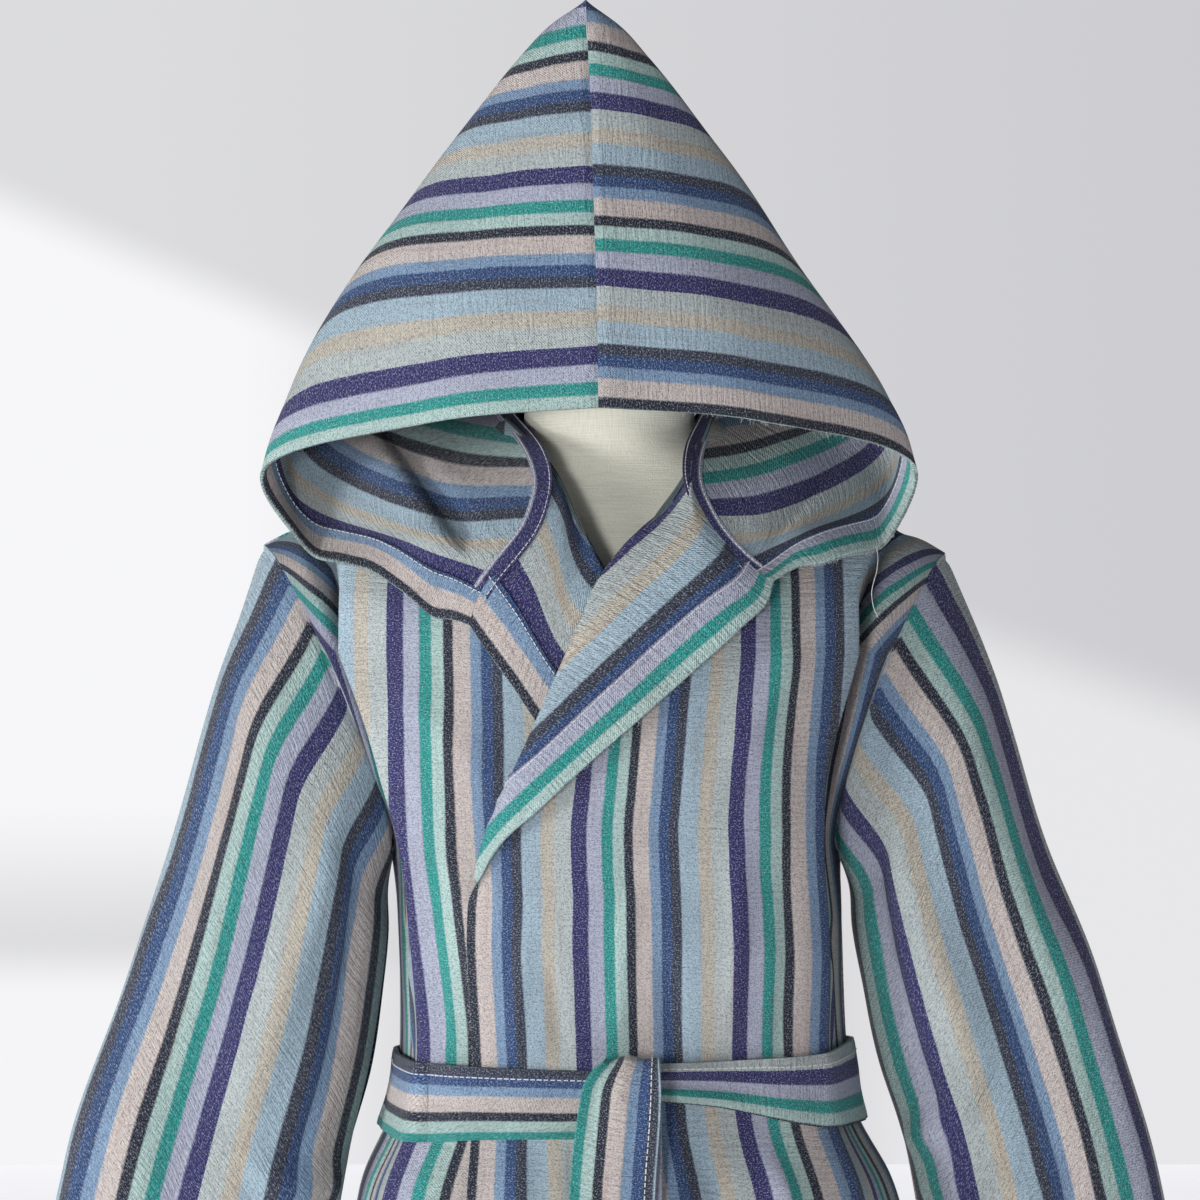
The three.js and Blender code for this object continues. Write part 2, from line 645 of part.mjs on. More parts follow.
const lastOf = (list) => list.length - 1;
const armRows = upperShares.length + hangHeights.filter((z) => z > underarmZ).length;
const plainGap = { top: halfSeamGap, start: halfSeamGap, end: halfSeamGap };
const back = clothPiece('back', backGrid(), false, '#98a4b4', plainGap);
const backColumns = back.grid[0].length;

function sideSeamNormals(piece, side, column, toBack) {
  piece.grid.forEach((row, i) => {
    const below = vec(outward[side], toBack ? 0.1 : -0.1, 0).normalize();
    piece.normals[i][column] = i < armRows ? armholeNormal(side, row[column]) : below;
  });
}

const sewn = {};
['left', 'right'].forEach((side) => {
  const isLeft = side === 'left';
  const front = clothPiece(`front_${side}`, frontGrid(side), isLeft, isLeft ? '#9fa9b8' : '#a9b3bf',
    { top: halfSeamGap, end: halfSeamGap });
  const hood = clothPiece(`hood_${side}`, hoodGrid(side), !isLeft, isLeft ? '#aeb7c2' : '#b7bfc8',
    { end: hoodGap });
  const sleeve = clothPiece(`sleeve_${side}`, sleeveGrid(side), isLeft, isLeft ? '#8793a6' : '#93a0b3',
    { top: sleeveGap });
  const hoodEnd = lastOf(hood.grid[0]);
  sideSeamNormals(front, side, lastOf(front.grid[0]), false);
  sideSeamNormals(back, side, isLeft ? backColumns - 1 : 0, true);
  sleeve.grid[0].forEach((point, j) => { sleeve.normals[0][j] = armholeNormal(side, point); });
  for (let j = lapelSteps.length; j < lastOf(front.grid[0]); j += 1) {
    front.normals[0][j] = vec(outward[side] * 0.48, 0, 0.88);
  }
  hood.normals.forEach((row) => row[0].setX(0).normalize());
  hood.normals[lastOf(hood.normals)].forEach((n) => n.setX(0).normalize());
  lapelSteps.forEach((_, k) => shareNormal(front, 0, k, hood, k, hoodEnd));
  const middle = (backColumns - 1) / 2;
  napeSteps.slice(1).forEach((_, k) => {
    const column = middle + outward[side] * (napeSteps.length - 2 - k);
    shareNormal(back, 0, column, hood, lapelSteps.length + k, hoodEnd);
  });
  const atShoulder = hood.normals[lapelSteps.length - 1][hoodEnd];
  back.normals[0][middle + outward[side] * (napeSteps.length - 1)] = atShoulder.clone();
  back.normals[0][middle].setX(0).normalize();
  for (let j = napeSteps.length; j < middle; j += 1) {
    back.normals[0][middle + outward[side] * j] = vec(outward[side] * 0.48, 0, 0.88);
  }
  sewn[side] = { front, hood, sleeve };
});
addPiece(back);
Object.values(sewn).forEach(({ front, hood, sleeve }) => {
  addPiece(front);
  addPiece(hood);
  addPiece(sleeve);
});

// ---- the neck tape, on the inner side of the neck seam ----
const tapeWidth = 12;
const tapeLift = table('at lift', [
  [28, 3.6], [46, 5], [65, 6], [85, 6.6], [104, 6.6], [150, 7], [175, 5], [262, 3.6],
]);
const tapeWall = 1;
const tapeGap = 0.4; // between the tape and the walls
const sliver = 0.3;

function addNeckTape(pieces) {
  const along = (side) => {
    const { front, hood } = pieces[side];
    const end = lastOf(hood.grid[0]);
    return [...lapelSteps, ...napeSteps.slice(1)].slice(2).map((at, k) => {
      const row = k + 2;
      const normal = hood.normals[row][end].clone().negate();
      const seam = neckPoint(side, at);
      const hoodWay = hood.grid[row][end].clone().sub(hood.grid[row][end - 1]);
      const before = neckPoint(side, at - 4);
      const tangent = neckPoint(side, Math.min(at + 4, hoodWidth)).sub(before).normalize();
      const across = hoodWay.addScaledVector(tangent, -hoodWay.dot(tangent));
      across.addScaledVector(normal, -across.dot(normal)).normalize();
      return { centre: seam.addScaledVector(normal, read(tapeLift, 'lift', at)), across, normal };
    });
  };
  const left = along('left');
  const right = along('right').slice(0, -1).reverse();
  left[left.length - 1].normal.setX(0).normalize();
  const line = [...left, ...right];
  const grid = line.map(({ centre, across }) => [-0.5, 0, 0.5].map((share) => (
    centre.clone().addScaledVector(across, share * tapeWidth)
  )));
  const normals = line.map(({ normal }) => [0, 1, 2].map(() => normal.clone()));
  const walls = [back, ...Object.values(pieces).flatMap(({ front, hood }) => [front, hood])];
  addMesh('neck_tape', clearOf(clothSolid(grid, normals, tapeWall), walls), '#4b4a86', 0.8);
}
addNeckTape(sewn);

// ---- the belt: the band round the waist, the knot and the two ends ----
const beltGap = 5; // from the body's cloth to the middle of the band
const knot = { fromX: -23, toX: 33, lowZ: 1028, highZ: 1064, frontY: -141, backY: -121.5, round: 5 };
const band = table('at z height', [
  [0, 1050, 22], [0.05, 1048, 30], [0.14, 1042, 44], [0.25, 1040, 52], [0.5, 1040, 46], [0.75, 1034, 50],
  [0.86, 1034, 49], [0.95, 1036, 45], [1, 1036, 42],
]);
const tails = {
  front: {
    fromX: -26,
    toX: 30,
    rows: table('at y', [
      [1067, -144], [1028, -144.5], [974, -143], [900, -149], [800, -155], [652, -159],
    ]),
  },
  back: {
    fromX: -18,
    toX: 34,
    rows: table('at y', [[1026, -130], [974, -135.5], [900, -143], [800, -149.5], [618, -153.5]]),
  },
};
const tailWall = 2.4;

// the body's outline at a height, from the knot round by the left side, the back and the right side
function waistLine(z) {
  const side = (name, shares) => shares.map((share) => hangPoint(name, z, 0, 100, 1, share).point);
  const lifted = (name, x, lift) => vec(x, hangY(name, x, z) - lift, z);
  const behind = [...backShares.slice(1, -1).reverse().map((share) => backHang('left', z, share)),
    ...backShares.slice(0, -1).map((share) => backHang('right', z, share))];
  return [
    ...[38, 62, 86, 108, 126].map((x) => lifted('left', x, liftOf('left', x, z))),
    ...side('left', [0, 0.66, 0.86, 1]),
    ...behind, ...side('right', [1, 0.86, 0.66, 0]), lifted('right', -112, 1), lifted('right', -101, 6),
    ...[-90, -64, -28].map((x) => lifted('right', x, overLift)),
  ];
}

function addBelt() {
  const shares = waistLine(beltZ).map((_, k, all) => k / (all.length - 1));
  const edges = [0.5, 0, -0.5].map((up) => shares.map((share, k) => {
    const z = read(band, 'z', share) + up * read(band, 'height', share);
    const line = waistLine(z);
    const before = line[Math.max(0, k - 1)];
    const after = line[Math.min(line.length - 1, k + 1)];
    const out = vec(after.y - before.y, before.x - after.x, 0).normalize();
    return { point: line[k].clone().addScaledVector(out, beltGap), out };
  }));
  const grid = shares.map((_, k) => edges.map((edge) => edge[k].point));
  const normals = shares.map((_, k) => edges.map((edge) => edge[k].out));
  addMesh('belt_band', clothSolid(flipRows(grid), flipRows(normals), beltWall), '#7f97a8', 0.85);

  const outline = new THREE.Shape();
  const { fromX, toX, lowZ, highZ, frontY, backY, round } = knot;
  outline.moveTo(fromX + round, lowZ);
  outline.lineTo(toX - round, lowZ);
  outline.quadraticCurveTo(toX, lowZ, toX, lowZ + round);
  outline.lineTo(toX, highZ - round);
  outline.quadraticCurveTo(toX, highZ, toX - round, highZ);
  outline.lineTo(fromX + round, highZ);
  outline.quadraticCurveTo(fromX, highZ, fromX, highZ - round);
  outline.lineTo(fromX, lowZ + round);
  outline.quadraticCurveTo(fromX, lowZ, fromX + round, lowZ);
  const knotDepth = { depth: backY - frontY, bevelEnabled: false, curveSegments: 4 };
  const knotGeometry = new THREE.ExtrudeGeometry(outline, knotDepth);
  knotGeometry.rotateX(Math.PI / 2);
  knotGeometry.translate(0, backY, 0);
  addMesh('belt_knot', knotGeometry, '#5f8f97', 0.85);

  Object.entries(tails).forEach(([name, tail]) => {
    const { rows } = tail;
    const steps = 7;
    const tailGrid = Array.from({ length: steps + 1 }, (_, k) => {
      const z = mix(rows[0].at, rows[rows.length - 1].at, k / steps);
      return [tail.fromX, tail.toX].map((x) => vec(x, read(rows, 'y', z), z));
    });
    const facing = tailGrid.map((row) => row.map(() => vec(0, -1, 0)));
    addMesh(`belt_tail_${name}`, clothSolid(tailGrid, facing, tailWall), '#6fa3a4', 0.85);
  });
}
addBelt();

// ---- the dress form and its stand ----
const formSections = table('at half front back', [
  [formTopZ, 55, 55, 55], [1500, 55, 55, 55], [1475, 56, 55, 56], [1460, 61, 56, 60], [1446, 84, 58, 66],
  [1430, 120, 63, 72], [1412, 152, 72, 77], [1388, 168, 82, 82],
  [1345, 162, 98, 86], [1285, 152, 108, 88],
  [1225, 142, 106, 86], [1150, 128, 96, 78], [1060, 116, 86, 70], [980, 138, 96, 88], [910, 150, 102, 98],
  [formBottomZ, 150, 100, 96],
]);

function formGeometry() {
  const around = 28;
  const heights = [
    formBottomZ, 910, 980, 1020, 1060, 1105, 1150, 1190,
    1225, 1255, 1285, 1315, 1345, 1368, 1388, 1401, 1412,
    1421, 1430, 1438, 1446, 1453, 1460, 1468, 1478, 1500, formTopZ,
  ];
  const positions = [];
  heights.forEach((z) => {
    for (let k = 0; k < around; k += 1) {
      const angle = (k / around) * 2 * Math.PI;
      const depth = Math.sin(angle) < 0 ? read(formSections, 'front', z) : read(formSections, 'back', z);
      positions.push(read(formSections, 'half', z) * Math.cos(angle), depth * Math.sin(angle), z);
    }
  });
  const lowCentre = positions.length / 3;
  positions.push(0, 0, heights[0], 0, 0, heights[heights.length - 1]);
  const faces = [];
  for (let k = 0; k < around; k += 1) {
    const next = (k + 1) % around;
    for (let i = 0; i < heights.length - 1; i += 1) {
      const [a, b] = [i * around + k, i * around + next];
      const [c, d] = [b + around, a + around];
      faces.push(a, b, c, a, c, d);
    }
    const top = (heights.length - 1) * around;
    faces.push(lowCentre, next, k, lowCentre + 1, top + k, top + next);
  }
  const geometry = new THREE.BufferGeometry();
  geometry.setAttribute('position', new THREE.Float32BufferAttribute(positions, 3));
  geometry.setIndex(faces);
  return geometry;
}

function turned(profile, steps) {
  const lathe = new THREE.LatheGeometry(profile.map(([r, z]) => new THREE.Vector2(r, z)), steps);
  lathe.deleteAttribute('normal');
  lathe.deleteAttribute('uv');
  const geometry = mergeVertices(lathe, 1e-4);
  geometry.rotateX(Math.PI / 2);
  return geometry;
}

function addStand() {
  const neckTop = formTopZ + partGap;
  const collarBottom = formBottomZ - 26;
  addMesh('form_torso', formGeometry(), '#cdc6b4', 0.9);
  addMesh('form_neck_cap', turned([
    [0, neckTop], [52, neckTop], [54, neckTop + 3],
    [54, neckTop + 7], [50, neckTop + 10], [0, neckTop + 12],
  ], 28), '#8f6f4e', 0.5);
  addMesh('form_collar', turned([
    [poleRadius + partGap, collarBottom], [26, collarBottom],
    [34, formBottomZ - 8], [34, formBottomZ - partGap],
    [0, formBottomZ - partGap], [0, formBottomZ - 12], [poleRadius + partGap, formBottomZ - 12],
    [poleRadius + partGap, collarBottom],
  ], 20), '#8f6f4e', 0.5);
  addMesh('stand_pole', turned([
    [0, baseHeight + partGap], [poleRadius, baseHeight + partGap],
    [poleRadius, formBottomZ - 12 - partGap],
    [0, formBottomZ - 12 - partGap],
  ], 20), '#8f6f4e', 0.5);
  addMesh('stand_base', turned([
    [0, 0], [baseRadius - 4, 0], [baseRadius, 4],
    [baseRadius, baseHeight - 8], [baseRadius - 6, baseHeight - 2],
    [baseRadius - 14, baseHeight], [0, baseHeight],
  ], 40), '#8f6f4e', 0.5);
}
addStand();

export default group;
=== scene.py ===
import math

import bpy
import numpy as np
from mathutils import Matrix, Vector


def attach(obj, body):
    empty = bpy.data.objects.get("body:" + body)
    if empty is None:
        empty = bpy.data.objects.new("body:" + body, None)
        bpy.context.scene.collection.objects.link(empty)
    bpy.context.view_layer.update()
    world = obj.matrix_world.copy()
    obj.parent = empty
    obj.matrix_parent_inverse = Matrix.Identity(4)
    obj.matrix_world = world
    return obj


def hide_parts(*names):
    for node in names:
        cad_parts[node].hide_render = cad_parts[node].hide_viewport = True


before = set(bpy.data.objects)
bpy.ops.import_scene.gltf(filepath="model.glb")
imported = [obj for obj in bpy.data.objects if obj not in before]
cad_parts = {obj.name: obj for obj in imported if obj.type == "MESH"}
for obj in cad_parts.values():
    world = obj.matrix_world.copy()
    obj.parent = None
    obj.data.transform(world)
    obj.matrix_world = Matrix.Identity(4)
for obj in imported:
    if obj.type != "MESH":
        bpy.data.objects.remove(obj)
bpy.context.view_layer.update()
mm = 0.001


# a table of sections, read smoothly between its rows
class Table:
    def __init__(self, columns, rows):
        self.rows = np.array(sorted(rows), float)
        self.names = columns.split()

    def read(self, column, place):
        at, value = self.rows[:, 0], self.rows[:, self.names.index(column)]
        place = np.clip(np.asarray(place, float), at[0], at[-1])
        k = np.clip(np.searchsorted(at, place, side="right") - 1, 0, len(at) - 2)
        slope = np.diff(value) / np.diff(at)
        tangent = np.concatenate([slope[:1], (slope[:-1] + slope[1:]) / 2, slope[-1:]])
        step = at[k + 1] - at[k]
        t = (place - at[k]) / step
        rise = t * t * (3 - 2 * t)
        start = (1 - t) ** 2 * t * step * tangent[k]
        end = t * t * (t - 1) * step * tangent[k + 1]
        return value[k] * (1 - rise) + value[k + 1] * rise + start + end


def vec(x, y, z):
    return np.stack(np.broadcast_arrays(x, y, z), axis=-1).astype(float)


def mix(a, b, t):
    return a + (b - a) * t


def smooth(x):
    t = np.clip(x, 0, 1)
    return t * t * (3 - 2 * t)


def bell(x):
    return np.exp(-np.square(x))


def signedPower(x, power):
    return np.sign(x) * np.abs(x) ** power


def unit(v):
    return v / np.maximum(np.linalg.norm(v, axis=-1, keepdims=True), 1e-9)


# a point between two others, with the way the line goes at each
def throughSpan(start, end, startWay, endWay, w):
    curve = (3 * (end - start) - 2 * startWay - endWay) * w ** 2
    return start + startWay * w + curve + (2 * (start - end) + startWay + endWay) * w ** 3


# a smooth line through the points, each of which may be a whole grid of points
def throughPoints(points, t):
    t = np.asarray(t, float)
    shape = np.broadcast_shapes((*t.shape, 3), *(point.shape for point in points))
    points = [np.broadcast_to(point, shape) for point in points]
    points = np.stack([2 * points[0] - points[1], *points, 2 * points[-1] - points[-2]])
    spans = len(points) - 3
    place = np.broadcast_to(np.clip(t, 0, 1) * spans, shape[:-1])
    k = np.minimum(place.astype(int), spans - 1)
    w = (place - k)[..., None]
    pick = lambda n: np.take_along_axis(points, (k + n)[None, ..., None], axis=0)[0]
    a, b, c, d = (pick(n) for n in range(4))
    return throughSpan(b, c, (c - a) / 2, (d - b) / 2, w)


# each row's points joined by one smooth line, whose knots follow the distances
def smoothRows(points, columns):
    points = np.stack(points, axis=1)
    gaps = np.maximum(np.sqrt(np.linalg.norm(np.diff(points, axis=1), axis=-1)), 0.3)
    knots = np.concatenate([np.zeros((len(points), 1)), np.cumsum(gaps, axis=1)], axis=1)
    ways = np.diff(points, axis=1) / gaps[..., None]
    before, after = gaps[:, :-1, None], gaps[:, 1:, None]
    inner = (ways[:, :-1] * after + ways[:, 1:] * before) / (after + before)
    tangents = np.concatenate([ways[:, :1], inner, ways[:, -1:]], axis=1)
    made = np.zeros((len(points), columns, 3))
    for row in range(len(points)):
        place = np.linspace(0, knots[row, -1], columns)
        k = np.clip(np.searchsorted(knots[row], place, side="right") - 1, 0, gaps.shape[1] - 1)
        gap = gaps[row, k][:, None]
        w = (place - knots[row, k])[:, None] / gap
        startWay, endWay = tangents[row, k] * gap, tangents[row, k + 1] * gap
        made[row] = throughSpan(points[row, k], points[row, k + 1], startWay, endWay, w)
    return made


# slow unevenness of hanging cloth: a few waves with fixed directions
def unevenness(a, b, length, seed):
    dice = np.random.default_rng(seed)
    total = 0
    for _ in range(7):
        turn, phase = dice.uniform(0, 2 * math.pi, 2)
        wave = length * dice.uniform(0.7, 1.6)
        total = total + np.sin((a * math.cos(turn) + b * math.sin(turn)) * 2 * math.pi / wave + phase)
    return total / 7 ** 0.5


# soft ridges and troughs listed one by one, each along a straight line
def creaseHeight(a, b, creases):
    total = np.zeros(np.broadcast(a, b).shape)
    for fromA, fromB, toA, toB, width, height in creases:
        wayA, wayB = toA - fromA, toB - fromB
        t = ((a - fromA) * wayA + (b - fromB) * wayB) / (wayA ** 2 + wayB ** 2)
        near = np.clip(t, 0, 1)
        gap = np.hypot(a - fromA - near * wayA, b - fromB - near * wayB)
        total += height * bell(gap / width) * smooth(near / 0.3 + 0.15) * smooth((1 - near) / 0.3 + 0.15)
    return total


outward = {"left": 1, "right": -1}

body = {
    "wall": 1.6,
    "hoodWidth": 262,
    "neckShare": 145,
    "frontWidth": 388,
    "ridgeAt": 262,
    "chestZ": 1320,
    "lapelTop": 1456,
    "underarmZ": 1190,
    "hemZ": 300,
    "neckPointY": 4,
    "shoulderTopZ": 1476,
    "shoulderFall": 0.548,
    "overLift": 9,
    "foldStartZ": 1015,
    "foldFullZ": 700,
    "chestFlatness": 2.6,
    "sideSeamY": 3,
    "lapelFade": 90,
    "neckHalf": 70,
    "holeRound": 0.85,
    "foldSlant": 0.7,
}

neckSeam = {
    "left": Table("at x y z", [
        (0, 103, -118, 1365), (28, 91, -119, 1372), (46, 80, -119, 1382), (65, 67, -116, 1397),
        (85, 57, -108, 1415), (104, 52, -96, 1431), (124, 55, -66, 1453), (145, 68, 4, 1476),
        (168, 65, 28, 1482), (192, 54, 48, 1486), (216, 37, 62, 1489), (240, 18, 69, 1490),
        (262, 0, 71, 1490),
    ]),
    "right": Table("at x y z", [
        (0, -88, -120, 1338), (28, -80, -119, 1360), (46, -66, -116, 1378), (65, -51, -110, 1397),
        (85, -44, -101, 1415), (104, -42, -88, 1433), (124, -50, -64, 1453), (145, -70, 4, 1476),
        (168, -66, 28, 1482), (192, -54, 48, 1486), (216, -37, 62, 1489), (240, -18, 69, 1490),
        (262, 0, 71, 1490),
    ]),
}

bodyDepth = Table("at front back", [
    (1320, 120, 100), (1276, 124, 104), (1238, 124, 104), (1190, 120, 100), (1140, 114, 95), (1060, 104, 86),
    (1020, 106, 90), (974, 118, 104), (900, 126, 116), (800, 132, 122), (600, 136, 126), (300, 140, 130),
])

# a front's side pleat: its ridge, the valley behind it, the crest by the seam and the seam
sidePleat = {
    "left": Table("at ridgeX ridgeY valleyX valleyY crestX crestY seamX", [
        (1320, 158, -84, 154, -52, 168, -64, 182), (1276, 146, -90, 146, -56, 157, -64, 167),
        (1238, 137, -92, 138, -56, 147, -60, 156), (1200, 135, -90, 136, -52, 142, -42, 152),
        (1140, 139, -84, 142, -56, 149, -32, 153), (1060, 138, -74, 144, -52, 152, -28, 156),
        (1020, 143, -76, 150, -54, 158, -30, 162), (974, 160, -86, 170, -60, 180, -32, 185),
        (900, 172, -92, 184, -64, 195, -34, 200), (800, 188, -98, 202, -68, 214, -36, 220),
        (300, 204, -104, 222, -72, 236, -38, 242),
    ]),
    "right": Table("at ridgeX ridgeY valleyX valleyY crestX crestY seamX", [
        (1320, -172, -78, -166, -50, -176, -60, -184), (1276, -155, -88, -152, -56, -161, -62, -168),
        (1238, -144, -90, -142, -58, -150, -58, -158), (1200, -134, -86, -133, -54, -138, -42, -146),
        (1140, -127, -84, -129, -58, -134, -34, -138), (1060, -122, -76, -127, -54, -133, -30, -137),
        (1020, -126, -78, -132, -56, -138, -32, -143), (974, -142, -88, -150, -62, -158, -34, -163),
        (900, -150, -92, -160, -64, -168, -34, -173), (800, -172, -98, -184, -68, -196, -36, -203),
        (300, -195, -104, -212, -72, -228, -38, -235),
    ]),
}

# how far from the free edge the cloth lies on the ridge, by height
ridgeCloth = {
    "left": Table("at u", [(300, 262), (1140, 262), (1200, 262), (1238, 264), (1276, 271), (1320, 281)]),
    "right": Table("at u", [(300, 263), (1020, 266), (1060, 267), (1140, 263), (1200, 264), (1238, 273),
                            (1276, 285), (1320, 301)]),
}


# most of a pleat's cloth hides in its valley
def pleatCloth(ridgeU, share):
    hidden = np.interp(share, [0, 0.1, 0.24, 0.46, 0.62, 1], [0, 0.1, 0.38, 0.64, 0.76, 1])
    return mix(ridgeU, body["frontWidth"], hidden)


armhole = {
    "left": {"underX": 152, "tipX": 221, "tipZ": 1384,
             "front": 62, "back": 60, "bowFront": 18, "bowBack": 10},
    "right": {"underX": -144, "tipX": -227, "tipZ": 1390,
              "front": 62, "back": 60, "bowFront": 16, "bowBack": 10},
}

lapel = {
    "left": Table("at turned rollX rollZ edgeX edgeZ", [
        (1456, 145, 68, 1476, 103, 1365), (1433, 141, 52, 1440, 98, 1351),
        (1411, 121, 32, 1411, 83, 1337), (1388, 98, 9, 1388, 66, 1321), (1365, 81, -8, 1365, 49, 1306),
        (1343, 72, -17, 1343, 32, 1291), (1320, 61, -27, 1320, 15, 1276),
        (1291, 49, -40, 1291, -7, 1257), (1262, 36, -53, 1262, -29, 1237),
        (1238, 26, -64, 1238, -46, 1221), (1212, 17, -75, 1212, -65, 1204),
        (1190, 9, -82, 1190, -77, 1186), (1160, 3, -88, 1160, -87, 1158),
    ]),
    "right": Table("at turned rollX rollZ edgeX edgeZ", [
        (1456, 145, -70, 1476, -88, 1338), (1433, 139, -38, 1441, -75, 1319),
        (1411, 132, -22, 1411, -62, 1301), (1388, 124, -11, 1388, -49, 1282),
        (1365, 117, 1, 1365, -36, 1264), (1343, 105, 12, 1343, -21, 1248),
        (1320, 92, 24, 1320, -4, 1234), (1291, 76, 39, 1291, 18, 1218), (1262, 60, 55, 1262, 40, 1204),
        (1238, 45, 69, 1238, 58, 1196), (1212, 30, 85, 1212, 79, 1184), (1190, 17, 99, 1190, 97, 1174),
        (1165, 6, 114, 1165, 113, 1161),
    ]),
}
# the stripes on a lapel stay parallel to its free edge: their distance from it at the roll
lapelStripes = {
    "left": Table("at u", [(1160, 3), (1190, 9), (1212, 17), (1238, 26), (1262, 36), (1291, 48),
                           (1320, 59), (1343, 68), (1365, 76), (1388, 81), (1411, 84), (1433, 91),
                           (1456, 104)]),
    "right": Table("at u", [(1165, 6), (1190, 17), (1212, 30), (1238, 45), (1262, 60), (1291, 69),
                            (1320, 76), (1343, 81), (1365, 86), (1388, 91), (1411, 97), (1433, 102),
                            (1456, 106)]),
}
lapelEnd = {"left": 1160, "right": 1165}
freeEdge = {
    "left": Table("at x", [(1190, -87), (1140, -90), (1060, -86), (974, -90), (800, -104), (300, -122)]),
    "right": Table("at x", [(1165, 122), (1060, 118), (974, 120), (800, 132), (300, 150)]),
}
edgeLift = {"left": 9, "right": 0}
rollLift = {"left": 13.5, "right": 2.2}
lapelLift = {"left": 17.5, "right": 4.4}

skirtFolds = {
    "left": [(40, 26, 5), (118, 22, -6), (196, 26, 9), (300, 30, 7)],
    "right": [(60, 24, -5), (150, 26, 8), (228, 24, -6), (310, 30, 8)],
    "back": [(-236, 26, 7), (-168, 24, -6), (-96, 28, 9), (-20, 24, -7), (62, 28, 10), (140, 22, -6),
             (214, 28, 8)],
}


# the robe's surface, as the solids have it
def foldHeight(folds, across, z):
    grown = smooth((body["foldStartZ"] - z) / (body["foldStartZ"] - body["foldFullZ"]))
    return sum(height * bell((across - at) / width) for at, width, height in folds) * grown


def hangY(side, x, z):
    low = np.minimum(z, body["chestZ"])
    depth = bodyDepth.read("front", low)
    rows = sidePleat[side]
    reach = np.minimum(1, np.abs(x / rows.read("ridgeX", low)))
    return -depth + (depth + rows.read("ridgeY", low)) * reach ** body["chestFlatness"]


def bodyY(x, z):
    return np.where(x > 0, hangY("left", x, z), hangY("right", x, z))


def chestY(x, z):
    below = bodyY(x, z)
    top = body["shoulderTopZ"] - np.maximum(0, np.abs(x) - body["neckHalf"]) * body["shoulderFall"]
    sine = np.clip((z - body["chestZ"]) / (top - body["chestZ"]), 0, 1)
    return body["neckPointY"] + (below - body["neckPointY"]) * np.sqrt(1 - sine ** 2)


def liftOf(side, x, z):
    if side == "right":
        return np.zeros(np.broadcast(x, z).shape)
    reach = np.abs(x / sidePleat["left"].read("ridgeX", np.minimum(z, body["chestZ"])))
    return body["overLift"] * (1 - np.minimum(1, reach) ** 10)


def armholePoint(side, turn):
    hole = armhole[side]
    angle = turn * 2 * math.pi
    along, across = -np.cos(angle), np.sin(angle)
    bow = np.where(across > 0, hole["bowFront"], hole["bowBack"])
    depth = np.where(across > 0, hole["front"], hole["back"])
    x = mix(hole["underX"], hole["tipX"], (along + 1) / 2) - outward[side] * bow * np.abs(across)
    z = mix(body["underarmZ"], hole["tipZ"], (along + 1) / 2)
    return vec(x, -depth * signedPower(across, body["holeRound"]), z)


def armholeTurn(side, z):
    share = np.clip((z - body["underarmZ"]) / (armhole[side]["tipZ"] - body["underarmZ"]), 0, 1)
    return np.arccos(1 - 2 * share) / (2 * math.pi)


def armholeTurnAt(side, down):
    return mix(0.5, armholeTurn(side, body["chestZ"]), down)


def seamPoint(side, z, face):
    turn = armholeTurn(side, z)
    onArmhole = armholePoint(side, turn if face == "front" else 1 - turn)
    onSide = vec(sidePleat[side].read("seamX", z), body["sideSeamY"], z)
    return np.where((z >= body["underarmZ"])[..., None], onArmhole, onSide)


def neckPoint(side, at):
    return vec(*(neckSeam[side].read(c, at) for c in "xyz"))


shoulderBumps = [(0.66, 0.08, 3), (0.8, 0.07, -4)]  # share of the seam, width and height


def shoulderPoint(side, share):
    point = mix(neckPoint(side, body["neckShare"]), armholePoint(side, 0.5), np.asarray(share)[..., None])
    point[..., 2] += sum(height * bell((share - at) / width) for at, width, height in shoulderBumps)
    return point


def pleatPoint(side, z, share):
    rows = sidePleat[side]
    ridge = vec(rows.read("ridgeX", z), rows.read("ridgeY", z), z)
    valley = vec(rows.read("valleyX", z), rows.read("valleyY", z), z)
    crest = vec(rows.read("crestX", z), rows.read("crestY", z), z)
    point = throughPoints([ridge, valley, crest, seamPoint(side, z, "front")], share)
    fold = foldHeight(skirtFolds[side], mix(body["ridgeAt"], body["frontWidth"], share), z)
    point[..., 0] += outward[side] * fold * body["foldSlant"]
    point[..., 1] -= fold * body["foldSlant"]
    return point, pleatCloth(ridgeCloth[side].read("u", z), share)


def plainPoint(side, z, startX, startU, share):
    x = mix(startX, sidePleat[side].read("ridgeX", z), share)
    fold = foldHeight(skirtFolds[side], mix(startU, body["ridgeAt"], share), z)
    u = mix(startU, ridgeCloth[side].read("u", z), share)
    return vec(x, bodyY(x, z) - liftOf(side, x, z) - fold, z), u


def lapelPoint(side, row, share):
    rows = lapel[side]
    x = mix(rows.read("edgeX", row), rows.read("rollX", row), share)
    z = mix(rows.read("edgeZ", row), rows.read("rollZ", row), share)
    full = mix(0.3, 1, smooth((row - lapelEnd[side]) / body["lapelFade"]))
    lift = mix(lapelLift[side], rollLift[side], share ** 6)
    u = lapelStripes[side].read("u", row) * share
    return vec(x, chestY(x, z) - mix(edgeLift[side], lift, full), z), u


# a patch stretched between its four borders
def stretched(start, end, top, bottom, across, down):
    a, d = across[..., None], down[..., None]
    corners = ((1 - a) * (1 - d) * top[:1, :1] + a * (1 - d) * top[:1, -1:]
               + (1 - a) * d * bottom[:1, :1] + a * d * bottom[:1, -1:])
    return (1 - a) * start + a * end + (1 - d) * top + d * bottom - corners


